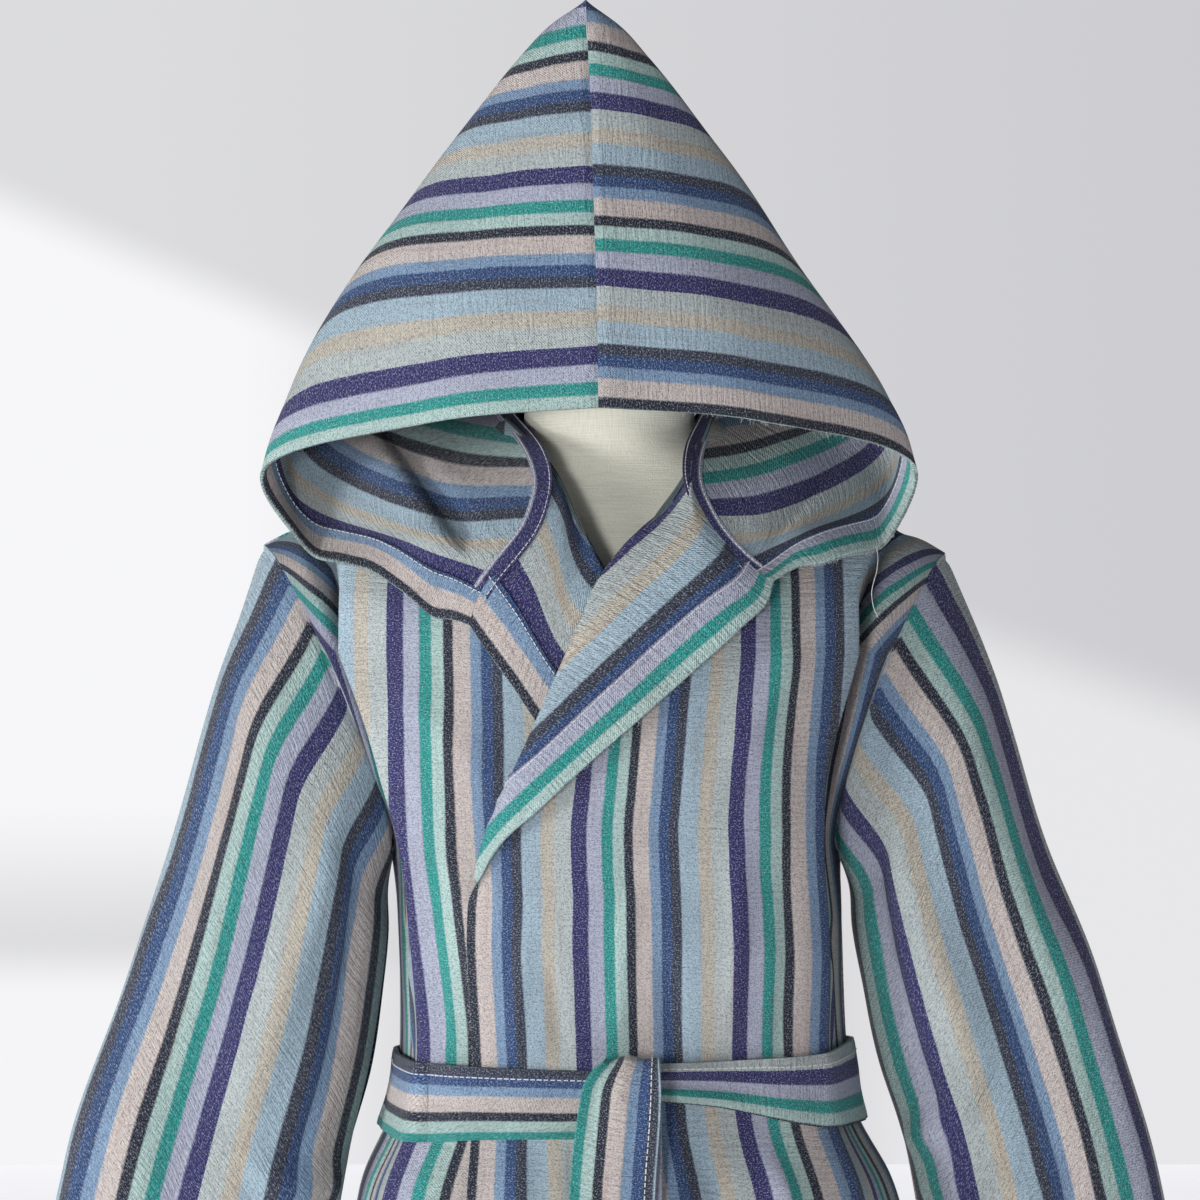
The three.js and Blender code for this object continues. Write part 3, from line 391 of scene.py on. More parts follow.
fronts = {
    "turnedColumns": 50, "plainColumns": 56, "pleatColumns": 34,
    "upperRows": 40, "chestRows": 96, "skirtRows": 76,
    "strip": 12, "skirtTopZ": 940, "lapelBlend": 26, "neckReach": 70,
    "rollReach": 0.12, "behindRoll": 0.05, "behindLapel": 0.4, "behindFade": 0.15, "stripeSpread": 0.85,
}
# where the pleat meets the shoulder seam, its step, and how far its stripes lean
pleatOnShoulder = {
    "ridge": 0.66, "rise": 8, "dip": 21, "lean": 0.6, "leanBlend": 0.3,
    "ridgeAt": 0.02, "before": 0.4, "after": 0.13, "valleyAt": 0.36, "valleyWidth": 0.16,
}


# shares of the width of the turned, the plain and the pleated part of a front
turnedShare = np.linspace(0, 1, fronts["turnedColumns"])
plainShare, pleatShare = (np.linspace(0, 1, fronts[part + "Columns"])[1:] for part in ("plain", "pleat"))


# heights of the rows from the chest down to the hem
def heightsBelow(chestRows, skirtRows):
    return np.concatenate([
        np.linspace(body["chestZ"], fronts["skirtTopZ"], chestRows),
        np.linspace(fronts["skirtTopZ"], body["hemZ"], skirtRows)[1:],
    ])


# a front from the chest down: points and the distance from its free edge
def frontBelow(side, z):
    onLapel, turned = lapelPoint(side, z, turnedShare[None])
    edgeX = freeEdge[side].read("x", z)
    stripShare = turnedShare[None] * fronts["strip"] / body["ridgeAt"]
    onStrip, stripU = plainPoint(side, z, edgeX, 0, stripShare)
    isLapel = smooth((z - lapelEnd[side]) / fronts["lapelBlend"])
    first = mix(onStrip, onLapel, isLapel[..., None])
    firstU = mix(stripU, turned, isLapel)
    extra = (lapel[side].read("turned", z) - lapelStripes[side].read("u", z)) * isLapel
    plain, plainU = plainPoint(side, z, first[:, -1:, 0], firstU[:, -1:] + extra, plainShare[None])
    plainU = plainU - extra * np.clip(1 - plainShare[None] / fronts["rollReach"], 0, 1)
    pleat, pleatU = pleatPoint(side, z, np.broadcast_to(pleatShare[None], (len(z), len(pleatShare))))
    points = np.concatenate([first, plain, pleat], axis=1)
    return points, np.concatenate([firstU, plainU, np.broadcast_to(pleatU, pleat.shape[:2])], axis=1)


# the cloth between the roll, the shoulder seam, the armhole and the chest line
def frontChest(side, rows, down, roll, bottom, bottomU):
    plainWidth, pleatWidth = body["ridgeAt"] - bottomU[0], body["frontWidth"] - body["ridgeAt"]
    width = plainWidth + pleatWidth
    across = np.concatenate([[0], plainShare * plainWidth, plainWidth + pleatShare * pleatWidth])[None]
    across, ridge = across / width, plainWidth / width
    top = shoulderPoint(side, np.interp(across, [0, ridge, 1], [0, pleatOnShoulder["ridge"], 1]))
    arm = armholePoint(side, armholeTurnAt(side, down))
    patch = stretched(roll, arm, top, bottom, *np.broadcast_arrays(across, down))
    # the cloth behind the lapel stays behind it
    liftBehind = mix(rollLift[side], edgeLift[side], smooth(across / fronts["behindRoll"]))
    behind = np.maximum(patch[..., 1], chestY(patch[..., 0], patch[..., 2]) - liftBehind)
    clearOfLapel = smooth((across - fronts["behindLapel"]) / fronts["behindFade"])
    patch[..., 1] = mix(behind, patch[..., 1], clearOfLapel)
    # the pleat keeps its step up to the shoulder
    pleat, pastRidge = pleatOnShoulder, (across - ridge) / (1 - ridge)
    inPleat = np.clip(pastRidge, 0, 1)
    fromRidge = pastRidge - pleat["ridgeAt"]
    step = (pleat["rise"] * bell(fromRidge / np.where(fromRidge > 0, pleat["after"], pleat["before"]))
            - pleat["dip"] * bell((inPleat - pleat["valleyAt"]) / pleat["valleyWidth"]))
    patch[..., 1] -= step * smooth((1 - down) * 3) * smooth(down * 5 + 0.2)
    # the stripes stand upright on the chest
    columns = fronts["plainColumns"]
    fromCentre, here = bottom[0, :columns, 0] * outward[side], patch[..., 0] * outward[side]
    order = np.argsort(fromCentre)
    upright = np.interp(here, fromCentre[order], bottomU[:columns][order])
    upright = upright - np.maximum(0, fromCentre[0] - here) * fronts["stripeSpread"]
    lean = pleat["lean"] * smooth(inPleat / pleat["leanBlend"]) * (rows - body["chestZ"])
    inPleatU = pleatCloth(upright[:, columns - 1:columns], inPleat) - lean
    return patch, np.where(across <= ridge, upright, inPleatU)


# a front's middle surface: points, the distance from its free edge, and the flat height of each row
def frontSurface(side):
    lowZ = heightsBelow(fronts["chestRows"], fronts["skirtRows"])
    lower, lowerU = frontBelow(side, lowZ[:, None])
    down = np.linspace(0, 1, fronts["upperRows"])[:-1, None]
    rows = mix(body["lapelTop"], body["chestZ"], down)
    onLapel, turned = lapelPoint(side, rows, turnedShare[None])
    ends, _ = lapelPoint(side, np.full((1, 1), float(body["lapelTop"])), turnedShare[None])
    fade = np.clip(1 - (body["lapelTop"] - rows) / fronts["neckReach"], 0, 1) ** 1.5
    onSeam = neckPoint(side, turnedShare * body["neckShare"])[None]
    onLapel = onLapel + (onSeam - ends) * fade[..., None]
    fromRoll = fronts["turnedColumns"] - 1
    patch, patchU = frontChest(side, rows, down, onLapel[:, -1:], lower[:1, fromRoll:], lowerU[0, fromRoll:])
    points = np.concatenate([np.concatenate([onLapel, patch[:, 1:]], axis=1), lower])
    u = np.concatenate([np.concatenate([turned, patchU[:, 1:]], axis=1), lowerU])
    return points, u, np.concatenate([rows[:, 0], lowZ])


backPiece = {
    "columns": 60, "upperRows": 40, "chestRows": 60, "skirtRows": 60,
    "halfWidth": 275, "neckOnBack": 0.4, "phase": 57, "wave": 160, "seed": 9,
    "squareness": 0.92, "flatness": 3.2, "foldSlant": 0.6,
}


def backTop(side, share):
    onNeck, split = backPiece["neckOnBack"], share / backPiece["neckOnBack"]
    neck = neckPoint(side, mix(body["hoodWidth"], body["neckShare"], np.minimum(1, split)))
    shoulder = shoulderPoint(side, np.clip((share - onNeck) / (1 - onNeck), 0, 1))
    return np.where((share <= onNeck)[..., None], neck, shoulder)


def backHang(side, z, share):
    seam = seamPoint(side, z, "back")
    depth = bodyDepth.read("back", z)
    across = outward[side] * share * backPiece["halfWidth"]
    fold = foldHeight(skirtFolds["back"], across, z) * (1 - share ** 8)
    slant = outward[side] * fold * share * backPiece["foldSlant"]
    x = seam[..., 0] * share ** backPiece["squareness"] + slant
    return vec(x, mix(depth, seam[..., 1], share ** backPiece["flatness"]) + fold, z)


def backUpper(side, down, share):
    angle = (1 - down) * math.pi / 2
    rise = vec(np.sin(angle), np.cos(angle), np.sin(angle))

    def rounded(place):
        top = backTop(side, place)
        low = backHang(side, np.full(np.shape(place), float(body["chestZ"])), place)
        start = np.stack([low[..., 0], top[..., 1], low[..., 2]], axis=-1)
        end = np.stack([top[..., 0], low[..., 1], top[..., 2]], axis=-1)
        return mix(start, end, rise)

    arm = armholePoint(side, 1 - armholeTurnAt(side, down))
    return rounded(share) + (arm - rounded(np.ones_like(share))) * (share ** 4)[..., None]


def backSurface():
    half = np.linspace(0, 1, backPiece["columns"])
    down = np.linspace(0, 1, backPiece["upperRows"])[:-1, None]
    lowZ = heightsBelow(backPiece["chestRows"], backPiece["skirtRows"])[:, None]

    def bothRows(side):
        upper = backUpper(side, *np.broadcast_arrays(down, half[None]))
        return np.concatenate([upper, backHang(side, *np.broadcast_arrays(lowZ, half[None]))])

    right, left = bothRows("right")[:, ::-1], bothRows("left")[:, 1:]
    u = np.concatenate([-half[::-1], half[1:]]) * backPiece["halfWidth"]
    points = np.concatenate([right, left], axis=1)
    return points, np.broadcast_to(u[None], points.shape[:2])


hood = {
    "rows": 120, "columns": 150, "front": 0.25, "brow": 9,
    "seamDip": 2.6, "seamReach": 3.2, "peakFrom": 236, "peakReach": 45, "peakNormal": (0.0, -0.6, 0.8),
    "wave": 120, "unevenness": 0.9, "seed": {"left": 5, "right": 6},
}
hoodSeam = Table("at x y z", [
    (0, -7, -165, 1473), (65, -8, -158, 1538), (130, -10, -147, 1602), (195, -12, -134, 1665),
    (262, -15, -121, 1731),
])
hoodLines = {
    "left": Table("at sideX sideY sideZ rearX rearY rearZ lowX lowY lowZ", [
        (0, 196, -85, 1437, 176, -84, 1394, 140, -103, 1378),
        (28, 186, -85, 1466, 178, -58, 1415, 128, -95, 1393),
        (65, 162, -87, 1506, 184, -35, 1447, 108, -101, 1401),
        (104, 128, -90, 1554, 166, -5, 1477, 106, -64, 1442),
        (145, 97, -94, 1598, 142, 25, 1498, 104, 26, 1478),
        (192, 65, -99, 1646, 92, 62, 1532, 73, 94, 1469),
        (240, 24, -106, 1697, 28, 84, 1567, 26, 118, 1468),
        (253, 7, -106, 1715, 8, 89, 1565, 10, 120, 1467),
        (262, -15, -106, 1729, -6, 91, 1562, -2, 121, 1466),
    ]),
    "right": Table("at sideX sideY sideZ rearX rearY rearZ lowX lowY lowZ", [
        (0, -222, -85, 1434, -200, -84, 1396, -140, -104, 1364),
        (28, -213, -85, 1463, -203, -58, 1415, -130, -97, 1385),
        (65, -186, -87, 1518, -206, -35, 1448, -105, -100, 1397),
        (104, -160, -90, 1562, -184, -5, 1480, -110, -64, 1438),
        (145, -130, -94, 1602, -152, 25, 1502, -102, 28, 1484),
        (192, -96, -99, 1648, -100, 62, 1532, -77, 94, 1469),
        (240, -54, -106, 1697, -40, 84, 1567, -30, 118, 1468),
        (253, -37, -106, 1716, -20, 89, 1565, -13, 120, 1467),
        (262, -15, -106, 1729, -6, 91, 1562, -2, 121, 1466),
    ]),
}


# where on a half its fold may stand, how it rises and ends, and how far the lower edge's waves reach
hoodFoldShape = {
    "fromShare": 0.52, "shareBlend": 0.12, "toShare": 0.995, "seamBlend": 0.08,
    "toStripe": 190, "stripeBlend": 60, "before": 25, "beyond": 20, "tip": 30,
    "rise": 5, "slope": 34, "hollowAt": -6, "hollowWidth": 9, "edgeReach": 45,
}
# a fold that stands on the inner wall, by its line in x and z, and the waves of the lower edge
hoodFolds = {
    "right": {"from": (-150, 1462), "to": (-100, 1394), "turn": 1, "height": 13, "hollow": 6,
              "edge": [(-112, 12, -6), (-188, 12, -5), (-150, 14, 3)]},
    "left": {"from": (150, 1440), "to": (112, 1398), "turn": -1, "height": 5, "hollow": 3,
             "edge": [(176, 14, -5), (118, 12, 4)]},
}


def hoodSurface(side):
    at = np.linspace(0, body["hoodWidth"], hood["rows"])
    rows = hoodLines[side]
    seam = vec(*(hoodSeam.read(c, at) for c in "xyz"))
    flank, rear, low = (vec(*(rows.read(name + c, at) for c in "XYZ")) for name in ("side", "rear", "low"))
    between = mix(seam, flank, 0.5)
    between[:, 1] = mix(seam[:, 1], flank[:, 1], hood["front"])
    between[:, 2] += hood["brow"] * (1 - at / body["hoodWidth"]) ** 1.5 + 1.5
    points = smoothRows([seam, between, flank, rear, low, neckPoint(side, at)], hood["columns"])
    share = np.linspace(0, 1, hood["columns"])[None]
    fold, x, z = hoodFolds[side], points[..., 0], points[..., 2]
    (fromX, fromZ), (toX, toZ) = fold["from"], fold["to"]
    long = math.hypot(toX - fromX, toZ - fromZ)
    along = ((x - fromX) * (toX - fromX) + (z - fromZ) * (toZ - fromZ)) / long
    off = ((x - fromX) * (toZ - fromZ) - (z - fromZ) * (toX - fromX)) / long * fold["turn"]
    shape, at = hoodFoldShape, at[:, None]
    inside = (smooth((share - shape["fromShare"]) / shape["shareBlend"])
              * smooth((shape["toShare"] - share) / shape["seamBlend"])
              * smooth((shape["toStripe"] - at) / shape["stripeBlend"]))
    nearLine = (smooth((along + shape["before"]) / shape["tip"])
                * smooth((long + shape["beyond"] - along) / shape["tip"]) * inside)
    ridge = smooth(off / shape["rise"] + 0.5) * bell(np.maximum(0, off) / shape["slope"])
    points[..., 1] -= fold["height"] * nearLine * ridge
    points[..., 1] += fold["hollow"] * nearLine * bell((off - shape["hollowAt"]) / shape["hollowWidth"])
    edge = smooth((shape["edgeReach"] - at) / shape["edgeReach"]) * smooth((share - 0.5) / 0.1)
    points[..., 2] += sum(height * bell((x - place) / width) for place, width, height in fold["edge"]) * edge
    return points, np.broadcast_to(at, points.shape[:2])


sleeve = {
    "rows": 150, "columns": 200, "cuffAt": 520, "flatness": 0.35, "girth": 330, "seamReach": 90,
    "foldFade": 150, "foldSlant": 0.6, "wave": 130, "creases": 1.4, "seamDip": 2,
    "seed": {"left": 7, "right": 8},
}
sleeveLines = {
    "left": Table("at outX outZ inX inZ front back", [
        (0, 221, 1384, 152, 1190, 62, 60), (60, 246, 1322, 159, 1166, 74, 60),
        (125, 266, 1262, 161, 1138, 76, 56), (200, 288, 1190, 168, 1103, 70, 50),
        (300, 322, 1106, 179, 1052, 62, 42), (400, 352, 1010, 198, 990, 58, 36),
        (520, 380, 893, 219, 880, 56, 34),
    ]),
    "right": Table("at outX outZ inX inZ front back", [
        (0, -227, 1390, -144, 1190, 62, 60), (60, -248, 1330, -147, 1164, 76, 58),
        (125, -268, 1264, -147, 1136, 80, 54), (200, -291, 1182, -150, 1103, 76, 46),
        (300, -318, 1102, -158, 1050, 68, 38), (400, -350, 1004, -174, 985, 62, 34),
        (520, -386, 885, -193, 872, 60, 32),
    ]),
}
sleeveFolds = [(0.14, 0.035, 7, 60), (0.27, 0.03, -6, 130), (0.40, 0.035, 6, 200), (0.62, 0.04, 7, 90),
               (0.84, 0.04, -7, 160)]
# where the stripes stand at the underarm and at the outer line, in millimetres of the repeat
sleevePhase = {"left": {"inner": 45, "outer": -125}, "right": {"inner": -86, "outer": 92}}


def sleeveSurface(side):
    at = np.linspace(0, sleeve["cuffAt"], sleeve["rows"])[:, None]
    turn = np.linspace(0, 1, sleeve["columns"])[None]
    rows, hole = sleeveLines[side], armhole[side]
    angle = turn * 2 * math.pi
    along, across = signedPower(-np.cos(angle), body["holeRound"]), np.sin(angle)
    depth = np.where(across > 0, rows.read("front", at), rows.read("back", at))
    share = (along + 1) / 2
    bow = np.where(across > 0, hole["bowFront"], hole["bowBack"])
    x = mix(rows.read("inX", at), rows.read("outX", at), share)
    x = x - outward[side] * bow * np.abs(across) * smooth(1 - at / sleeve["seamReach"])
    z = mix(rows.read("inZ", at), rows.read("outZ", at), share)
    fold = sum(height * bell((turn - place) / width) * smooth((at - start) / sleeve["foldFade"])
               for place, width, height, start in sleeveFolds)
    x = x + outward[side] * fold * along * sleeve["foldSlant"]
    points = vec(x, -(depth + fold) * signedPower(across, body["holeRound"]), z)
    points[0] = armholePoint(side, turn[0])
    # stripes are counted round a flattened tube, so that they keep their width as seen from the front
    steps = np.hypot(np.diff(along[0]), np.diff(across[0]) * sleeve["flatness"])
    arc = np.concatenate([[0], np.cumsum(steps)])
    half = np.interp(0.5, turn[0], arc)
    phase = sleevePhase[side]
    p = phase["inner"] + (phase["outer"] - phase["inner"]) * arc / half
    return points, np.broadcast_to(p[None], points.shape[:2])


def gridNormals(points, facesOut):
    down, side = np.gradient(points, axis=0), np.gradient(points, axis=1)
    normals = unit(np.cross(down, side))
    return normals if facesOut else -normals


# length along the stripes, down the rows or across the columns
def runLength(points, axis):
    steps = np.linalg.norm(np.diff(points, axis=axis), axis=-1)
    start = np.zeros_like(np.take(steps, [0], axis=axis))
    return np.concatenate([start, np.cumsum(steps, axis=axis)], axis=axis)


def placed(name, data):
    piece = bpy.data.objects.new(name, data)
    bpy.context.scene.collection.objects.link(piece)
    return piece


# a closed shell round a middle surface, in millimetres, with the stripe place and run in its UV map
def clothShell(name, points, normals, phase, run, wall):
    rows, columns = points.shape[:2]
    count = rows * columns
    outer, inner = points + normals * wall / 2, points - normals * wall / 2
    verts = np.concatenate([outer.reshape(-1, 3), inner.reshape(-1, 3)]) * mm
    index = np.arange(count).reshape(rows, columns)
    quads = np.stack([index[:-1, :-1], index[1:, :-1], index[1:, 1:], index[:-1, 1:]], axis=-1).reshape(-1, 4)
    facesOut = np.sum(np.cross(points[1, 0] - points[0, 0], points[0, 1] - points[0, 0]) * normals[0, 0]) > 0
    ring = np.concatenate([index[:, 0], index[-1, 1:], index[-2::-1, -1], index[0, -2:0:-1]])
    after = np.roll(ring, -1)
    rim = np.stack([ring, ring + count, after + count, after], axis=-1)
    shell = np.concatenate([quads, quads[:, ::-1] + count, rim])
    if not facesOut:
        shell = shell[:, ::-1]
    mesh = bpy.data.meshes.new(name)
    mesh.from_pydata(verts.tolist(), [], shell.tolist())
    vertexOf = np.zeros(len(mesh.loops), int)
    mesh.loops.foreach_get("vertex_index", vertexOf)
    flat = np.stack([phase.reshape(-1), run.reshape(-1)], axis=-1) / 100
    uv = np.concatenate([flat, flat])[vertexOf]
    mesh.uv_layers.new(name="cloth").data.foreach_set("uv", uv.astype(np.float32).reshape(-1))
    onRim = np.zeros(2 * count, bool)
    onRim[ring] = onRim[ring + count] = True
    ends = np.zeros(len(mesh.edges) * 2, int)
    mesh.edges.foreach_get("vertices", ends)
    ends = ends.reshape(-1, 2)
    sharp = onRim[ends].all(axis=1) & ((ends[:, 0] < count) == (ends[:, 1] < count))
    mesh.attributes.new("sharp_edge", "BOOLEAN", "EDGE").data.foreach_set("value", sharp)
    mesh.polygons.foreach_set("use_smooth", np.ones(len(mesh.polygons), bool))
    mesh.materials.append(cotton)
    mesh.update()
    return placed(name, mesh)


def rgb(red, green, blue):
    linear = lambda c: c / 12.92 if c <= 0.04045 else ((c + 0.055) / 1.055) ** 2.4
    return (*(linear(c / 255) for c in (red, green, blue)), 1)


class Wire:
    def __init__(self, tree, socket=None):
        self.tree, self.socket = tree, socket

    def make(self, kind, settings=None, values=None, out=0):
        node = self.tree.nodes.new(kind)
        for name, value in (settings or {}).items():
            if name == "stops":
                ramp = node.color_ramp
                while len(ramp.elements) < len(value):
                    ramp.elements.new(0.5)
                for element, (place, colour) in zip(ramp.elements, value):
                    element.position = place
                    element.color = colour
            else:
                setattr(node, name, value)
        for name, value in (values or {}).items():
            if isinstance(value, Wire):
                self.tree.links.new(value.socket, node.inputs[name])
            else:
                node.inputs[name].default_value = value
        return Wire(self.tree, node.outputs[out])

    def maths(self, operation, first, second=0.0):
        return self.make("ShaderNodeMath", {"operation": operation}, {0: first, 1: second})

    def __add__(self, other): return self.maths("ADD", self, other)
    def __radd__(self, other): return self.maths("ADD", other, self)
    def __sub__(self, other): return self.maths("SUBTRACT", self, other)
    def __rsub__(self, other): return self.maths("SUBTRACT", other, self)
    def __mul__(self, other): return self.maths("MULTIPLY", self, other)
    def __rmul__(self, other): return self.maths("MULTIPLY", other, self)

    def step(self, low, high):
        return self.make("ShaderNodeMapRange", {"interpolation_type": "SMOOTHSTEP"},
                         {"Value": self, "From Min": low, "From Max": high})

    def noise(self, vector, scale, detail=2.0, roughness=0.5):
        return self.make("ShaderNodeTexNoise", {}, {"Vector": vector, "Scale": scale, "Detail": detail,
                                                    "Roughness": roughness})

    # the place on the object, and its three parts
    def spot(self):
        return self.make("ShaderNodeTexCoord", {}, {}, out=3)

    def split(self, vector):
        return [self.make("ShaderNodeSeparateXYZ", {}, {0: vector}, out=k) for k in range(3)]

    def vector(self, x, y, z=0.0):
        return self.make("ShaderNodeCombineXYZ", {}, {"X": x, "Y": y, "Z": z})

    def blend(self, share, first, second, kind="MIX"):
        return self.make("ShaderNodeMix", {"data_type": "RGBA", "blend_type": kind, "clamp_factor": True},
                         {0: share, 6: first, 7: second}, out=2)


def newMaterial(name, roughness=0.9, metallic=0.0, sheen=0.0, colour=(0.5, 0.5, 0.5, 1)):
    material = bpy.data.materials.new(name)
    material.use_nodes = True
    tree = material.node_tree
    shader = tree.nodes["Principled BSDF"]
    shader.inputs["Base Color"].default_value = colour
    shader.inputs["Roughness"].default_value = roughness
    shader.inputs["Metallic"].default_value = metallic
    shader.inputs["Sheen Weight"].default_value = sheen
    shader.inputs["Sheen Roughness"].default_value = 0.6
    return material, Wire(tree), shader


def finish(wire, shader, colour=None, height=None, depth=0.001, roughness=None):
    if colour is not None:
        wire.tree.links.new(colour.socket, shader.inputs["Base Color"])
    if roughness is not None:
        wire.tree.links.new(roughness.socket, shader.inputs["Roughness"])
    if height is not None:
        bump = wire.make("ShaderNodeBump", {}, {"Height": height, "Distance": depth, "Strength": 1.0})
        wire.tree.links.new(bump.socket, shader.inputs["Normal"])


stripes = {
    "period": 115.0,
    "order": [  # width in millimetres and colour
        ("purple", 11.4, (40, 36, 104)), ("lavender", 10.8, (180, 184, 204)), ("teal", 8.2, (2, 154, 146)),
        ("mint", 8.2, (180, 208, 202)), ("navy", 6.6, (6, 20, 44)), ("pink", 11.7, (208, 196, 190)),
        ("lightBlue", 7.3, (126, 156, 188)), ("blue", 7.6, (32, 72, 124)), ("grey", 7.0, (44, 52, 72)),
        ("pale", 14.0, (168, 192, 206)), ("beige", 9.5, (198, 190, 174)), ("cream", 12.7, (188, 197, 196)),
    ],
    "soften": 0.5,
}


def stripeStops():
    total = sum(width for _, width, _ in stripes["order"])
    place, stops = 0.0, []
    for _, width, colour in stripes["order"]:
        stops += [((place + stripes["soften"]) / total, rgb(*colour)),
                  ((place + width - stripes["soften"]) / total, rgb(*colour))]
        place += width
    return stops


def stripedCotton():
    material, wire, shader = newMaterial("stripedCotton", roughness=0.95, sheen=0.08)
    uv = wire.make("ShaderNodeUVMap", {"uv_map": "cloth"})
    across = wire.make("ShaderNodeSeparateXYZ", {}, {0: uv}) * 100
    along = wire.make("ShaderNodeSeparateXYZ", {}, {0: uv}, out=1) * 100
    # the weft pulls each stripe's edge to and fro
    wander = wire.noise(wire.vector(across * 0.01, along * 0.02), 1.0) - 0.5
    ragged = wire.noise(wire.vector(across * 0.7, along * 1.6), 1.0, 1.0) - 0.5
    place = across + wander * 1.6 + ragged * 1.7
    turns = wire.maths("FRACT", place * (1 / stripes["period"]))
    colour = wire.make("ShaderNodeValToRGB", {"stops": stripeStops()}, {0: turns})
    # warp yarns differ along the piece, weft picks cross them as pale and dark flecks
    yarn = wire.noise(wire.vector(across * 1.6, along * 0.06), 1.0, 2.0, 0.6)
    fleck = wire.noise(wire.vector(across * 0.8, along * 1.1), 1.0, 2.5, 0.7)
    grain = wire.noise(wire.vector(across * 0.42 + along * 0.12, along * 0.5), 1.0, 3.0, 0.7)
    rose = wire.noise(wire.vector(across * 0.22, along * 0.012), 1.0, 2.0)
    patch = wire.noise(wire.vector(across * 0.03, along * 0.016), 1.0, 3.0)
    colour = wire.blend(fleck.step(0.52, 0.64) * 0.5, colour, rgb(200, 204, 216))
    colour = wire.blend((1 - fleck).step(0.52, 0.64) * 0.58, colour, rgb(40, 46, 80), "MULTIPLY")
    colour = wire.blend(yarn.step(0.5, 0.68) * 0.22, colour, rgb(150, 152, 168), "MULTIPLY")
    colour = wire.blend(grain.step(0.44, 0.66) * 0.42, colour, rgb(150, 156, 172), "MULTIPLY")
    colour = wire.blend(rose.step(0.54, 0.7) * 0.3, colour, rgb(232, 206, 196), "MULTIPLY")
    colour = wire.blend(patch.step(0.35, 0.7) * 0.16, colour, rgb(176, 180, 192), "MULTIPLY")
    twill = wire.make("ShaderNodeTexWave", {"wave_type": "BANDS", "bands_direction": "DIAGONAL"},
                      {"Vector": wire.vector(across, along * 1.0), "Scale": 0.36, "Distortion": 3.0,
                       "Detail": 2.0}, out=1)
    crinkle = wire.noise(wire.vector(across * 0.06, along * 0.3), 1.0, 3.0, 0.65)
    height = twill * 0.16 + fleck * 0.45 + yarn * 0.15 + crinkle * 1.8
    finish(wire, shader, colour, height=height, depth=0.0015)
    return material


def formLinen():
    material, wire, shader = newMaterial("formLinen", roughness=0.9, sheen=0.15)
    spot = wire.spot()
    x, y, z = wire.split(spot)
    warp = wire.noise(wire.vector(x * 1400, y * 1400, z * 60), 1.0)
    weft = wire.noise(wire.vector(x * 60, y * 60, z * 1400), 1.0)
    slub = wire.noise(wire.vector(x * 20, y * 20, z * 160), 1.0)
    thread = warp * 0.5 + weft * 0.5
    colour = wire.blend(thread.step(0.3, 0.7), rgb(232, 230, 214), rgb(247, 245, 230))
    colour = wire.blend(slub.step(0.55, 0.75) * 0.2, colour, rgb(200, 196, 180))
    finish(wire, shader, colour, height=thread, depth=0.0006)
    return material


def standWood():
    material, wire, shader = newMaterial("standWood", roughness=0.42)
    spot = wire.spot()
    x, y, z = wire.split(spot)
    bend = wire.noise(spot, 9.0, 3.0)
    grain = wire.noise(wire.vector(x * 160 + bend * 6, y * 18, z * 18), 1.0, 4.0)
    colour = wire.blend(grain.step(0.35, 0.68), rgb(118, 80, 48), rgb(168, 122, 80))
    finish(wire, shader, colour, height=grain, depth=0.0003, roughness=grain * 0.2 + 0.32)
    return material


def standMetal():
    material, wire, shader = newMaterial("standMetal", roughness=0.45)
    spot = wire.spot()
    grit = wire.noise(spot, 900.0, 2.0)
    worn = wire.noise(spot, 14.0, 4.0)
    colour = wire.blend(worn.step(0.45, 0.7), rgb(34, 34, 37), rgb(48, 48, 51))
    finish(wire, shader, colour, height=grit, depth=0.0002, roughness=worn * 0.25 + 0.32)
    return material


def sewingThread():
    material, wire, shader = newMaterial("sewingThread", roughness=0.7, sheen=0.2)
    spot = wire.spot()
    tone = wire.noise(spot, 500.0, 2.0)
    finish(wire, shader, wire.blend(tone, rgb(196, 196, 206), rgb(232, 231, 228)))
    return material


def plainFloor():
    material, wire, shader = newMaterial("paleFloor", roughness=0.95)
    spot = wire.spot()
    tone = wire.noise(spot, 1.3, 3.0)
    finish(wire, shader, wire.blend(tone * 0.5, rgb(224, 224, 226), rgb(214, 214, 217)))
    shader.inputs["Emission Color"].default_value = rgb(238, 238, 241)
    shader.inputs["Emission Strength"].default_value = 0.62
    return material


# a pale wall that glows with painted daylight: darker towards the right, with two soft patches of painted
# window light on it and a painted bright band low on the left
def paleWall():
    material, wire, shader = newMaterial("paleWall", roughness=0.95, colour=(0.03, 0.03, 0.03, 1))
    spot = wire.spot()
    x = wire.make("ShaderNodeSeparateXYZ", {}, {0: spot})
    z = wire.make("ShaderNodeSeparateXYZ", {}, {0: spot}, out=2)
    # painted shade: the wall grows darker towards the right
    colour = wire.blend(x.step(-1.6, 1.6), rgb(220, 220, 222), rgb(205, 205, 209))
    # painted window light: two soft patches and a bright band low down, shown by the wall's glow
    left = (2.36 - 0.42 * (x + 1.45) - z).step(-0.04, 0.12) * (1 - x.step(-0.9, -0.3)) * z.step(0.5, 0.9)
    right = (1.34 - 0.34 * (x - 0.8) - z).step(-0.06, 0.14) * x.step(0.4, 0.8)
    low = (0.5 - z).step(-0.05, 0.1) * (1 - x.step(-0.9, -0.3))
    colour = wire.blend(left, colour, rgb(247, 247, 249))
    colour = wire.blend(right, colour, rgb(231, 231, 233))
    colour = wire.blend(low, colour, rgb(245, 245, 247))
    wire.tree.links.new(colour.socket, shader.inputs["Emission Color"])
    shader.inputs["Emission Strength"].default_value = 0.97
    return material


cotton, linen, wood, metal = stripedCotton(), formLinen(), standWood(), standMetal()
thread = sewingThread()
print("materials made")

edgePhase = 38.6  # the fold of every turned edge lies at the mint stripe's end


def phaseFrom(side, u):
    return edgePhase + outward[side] * u


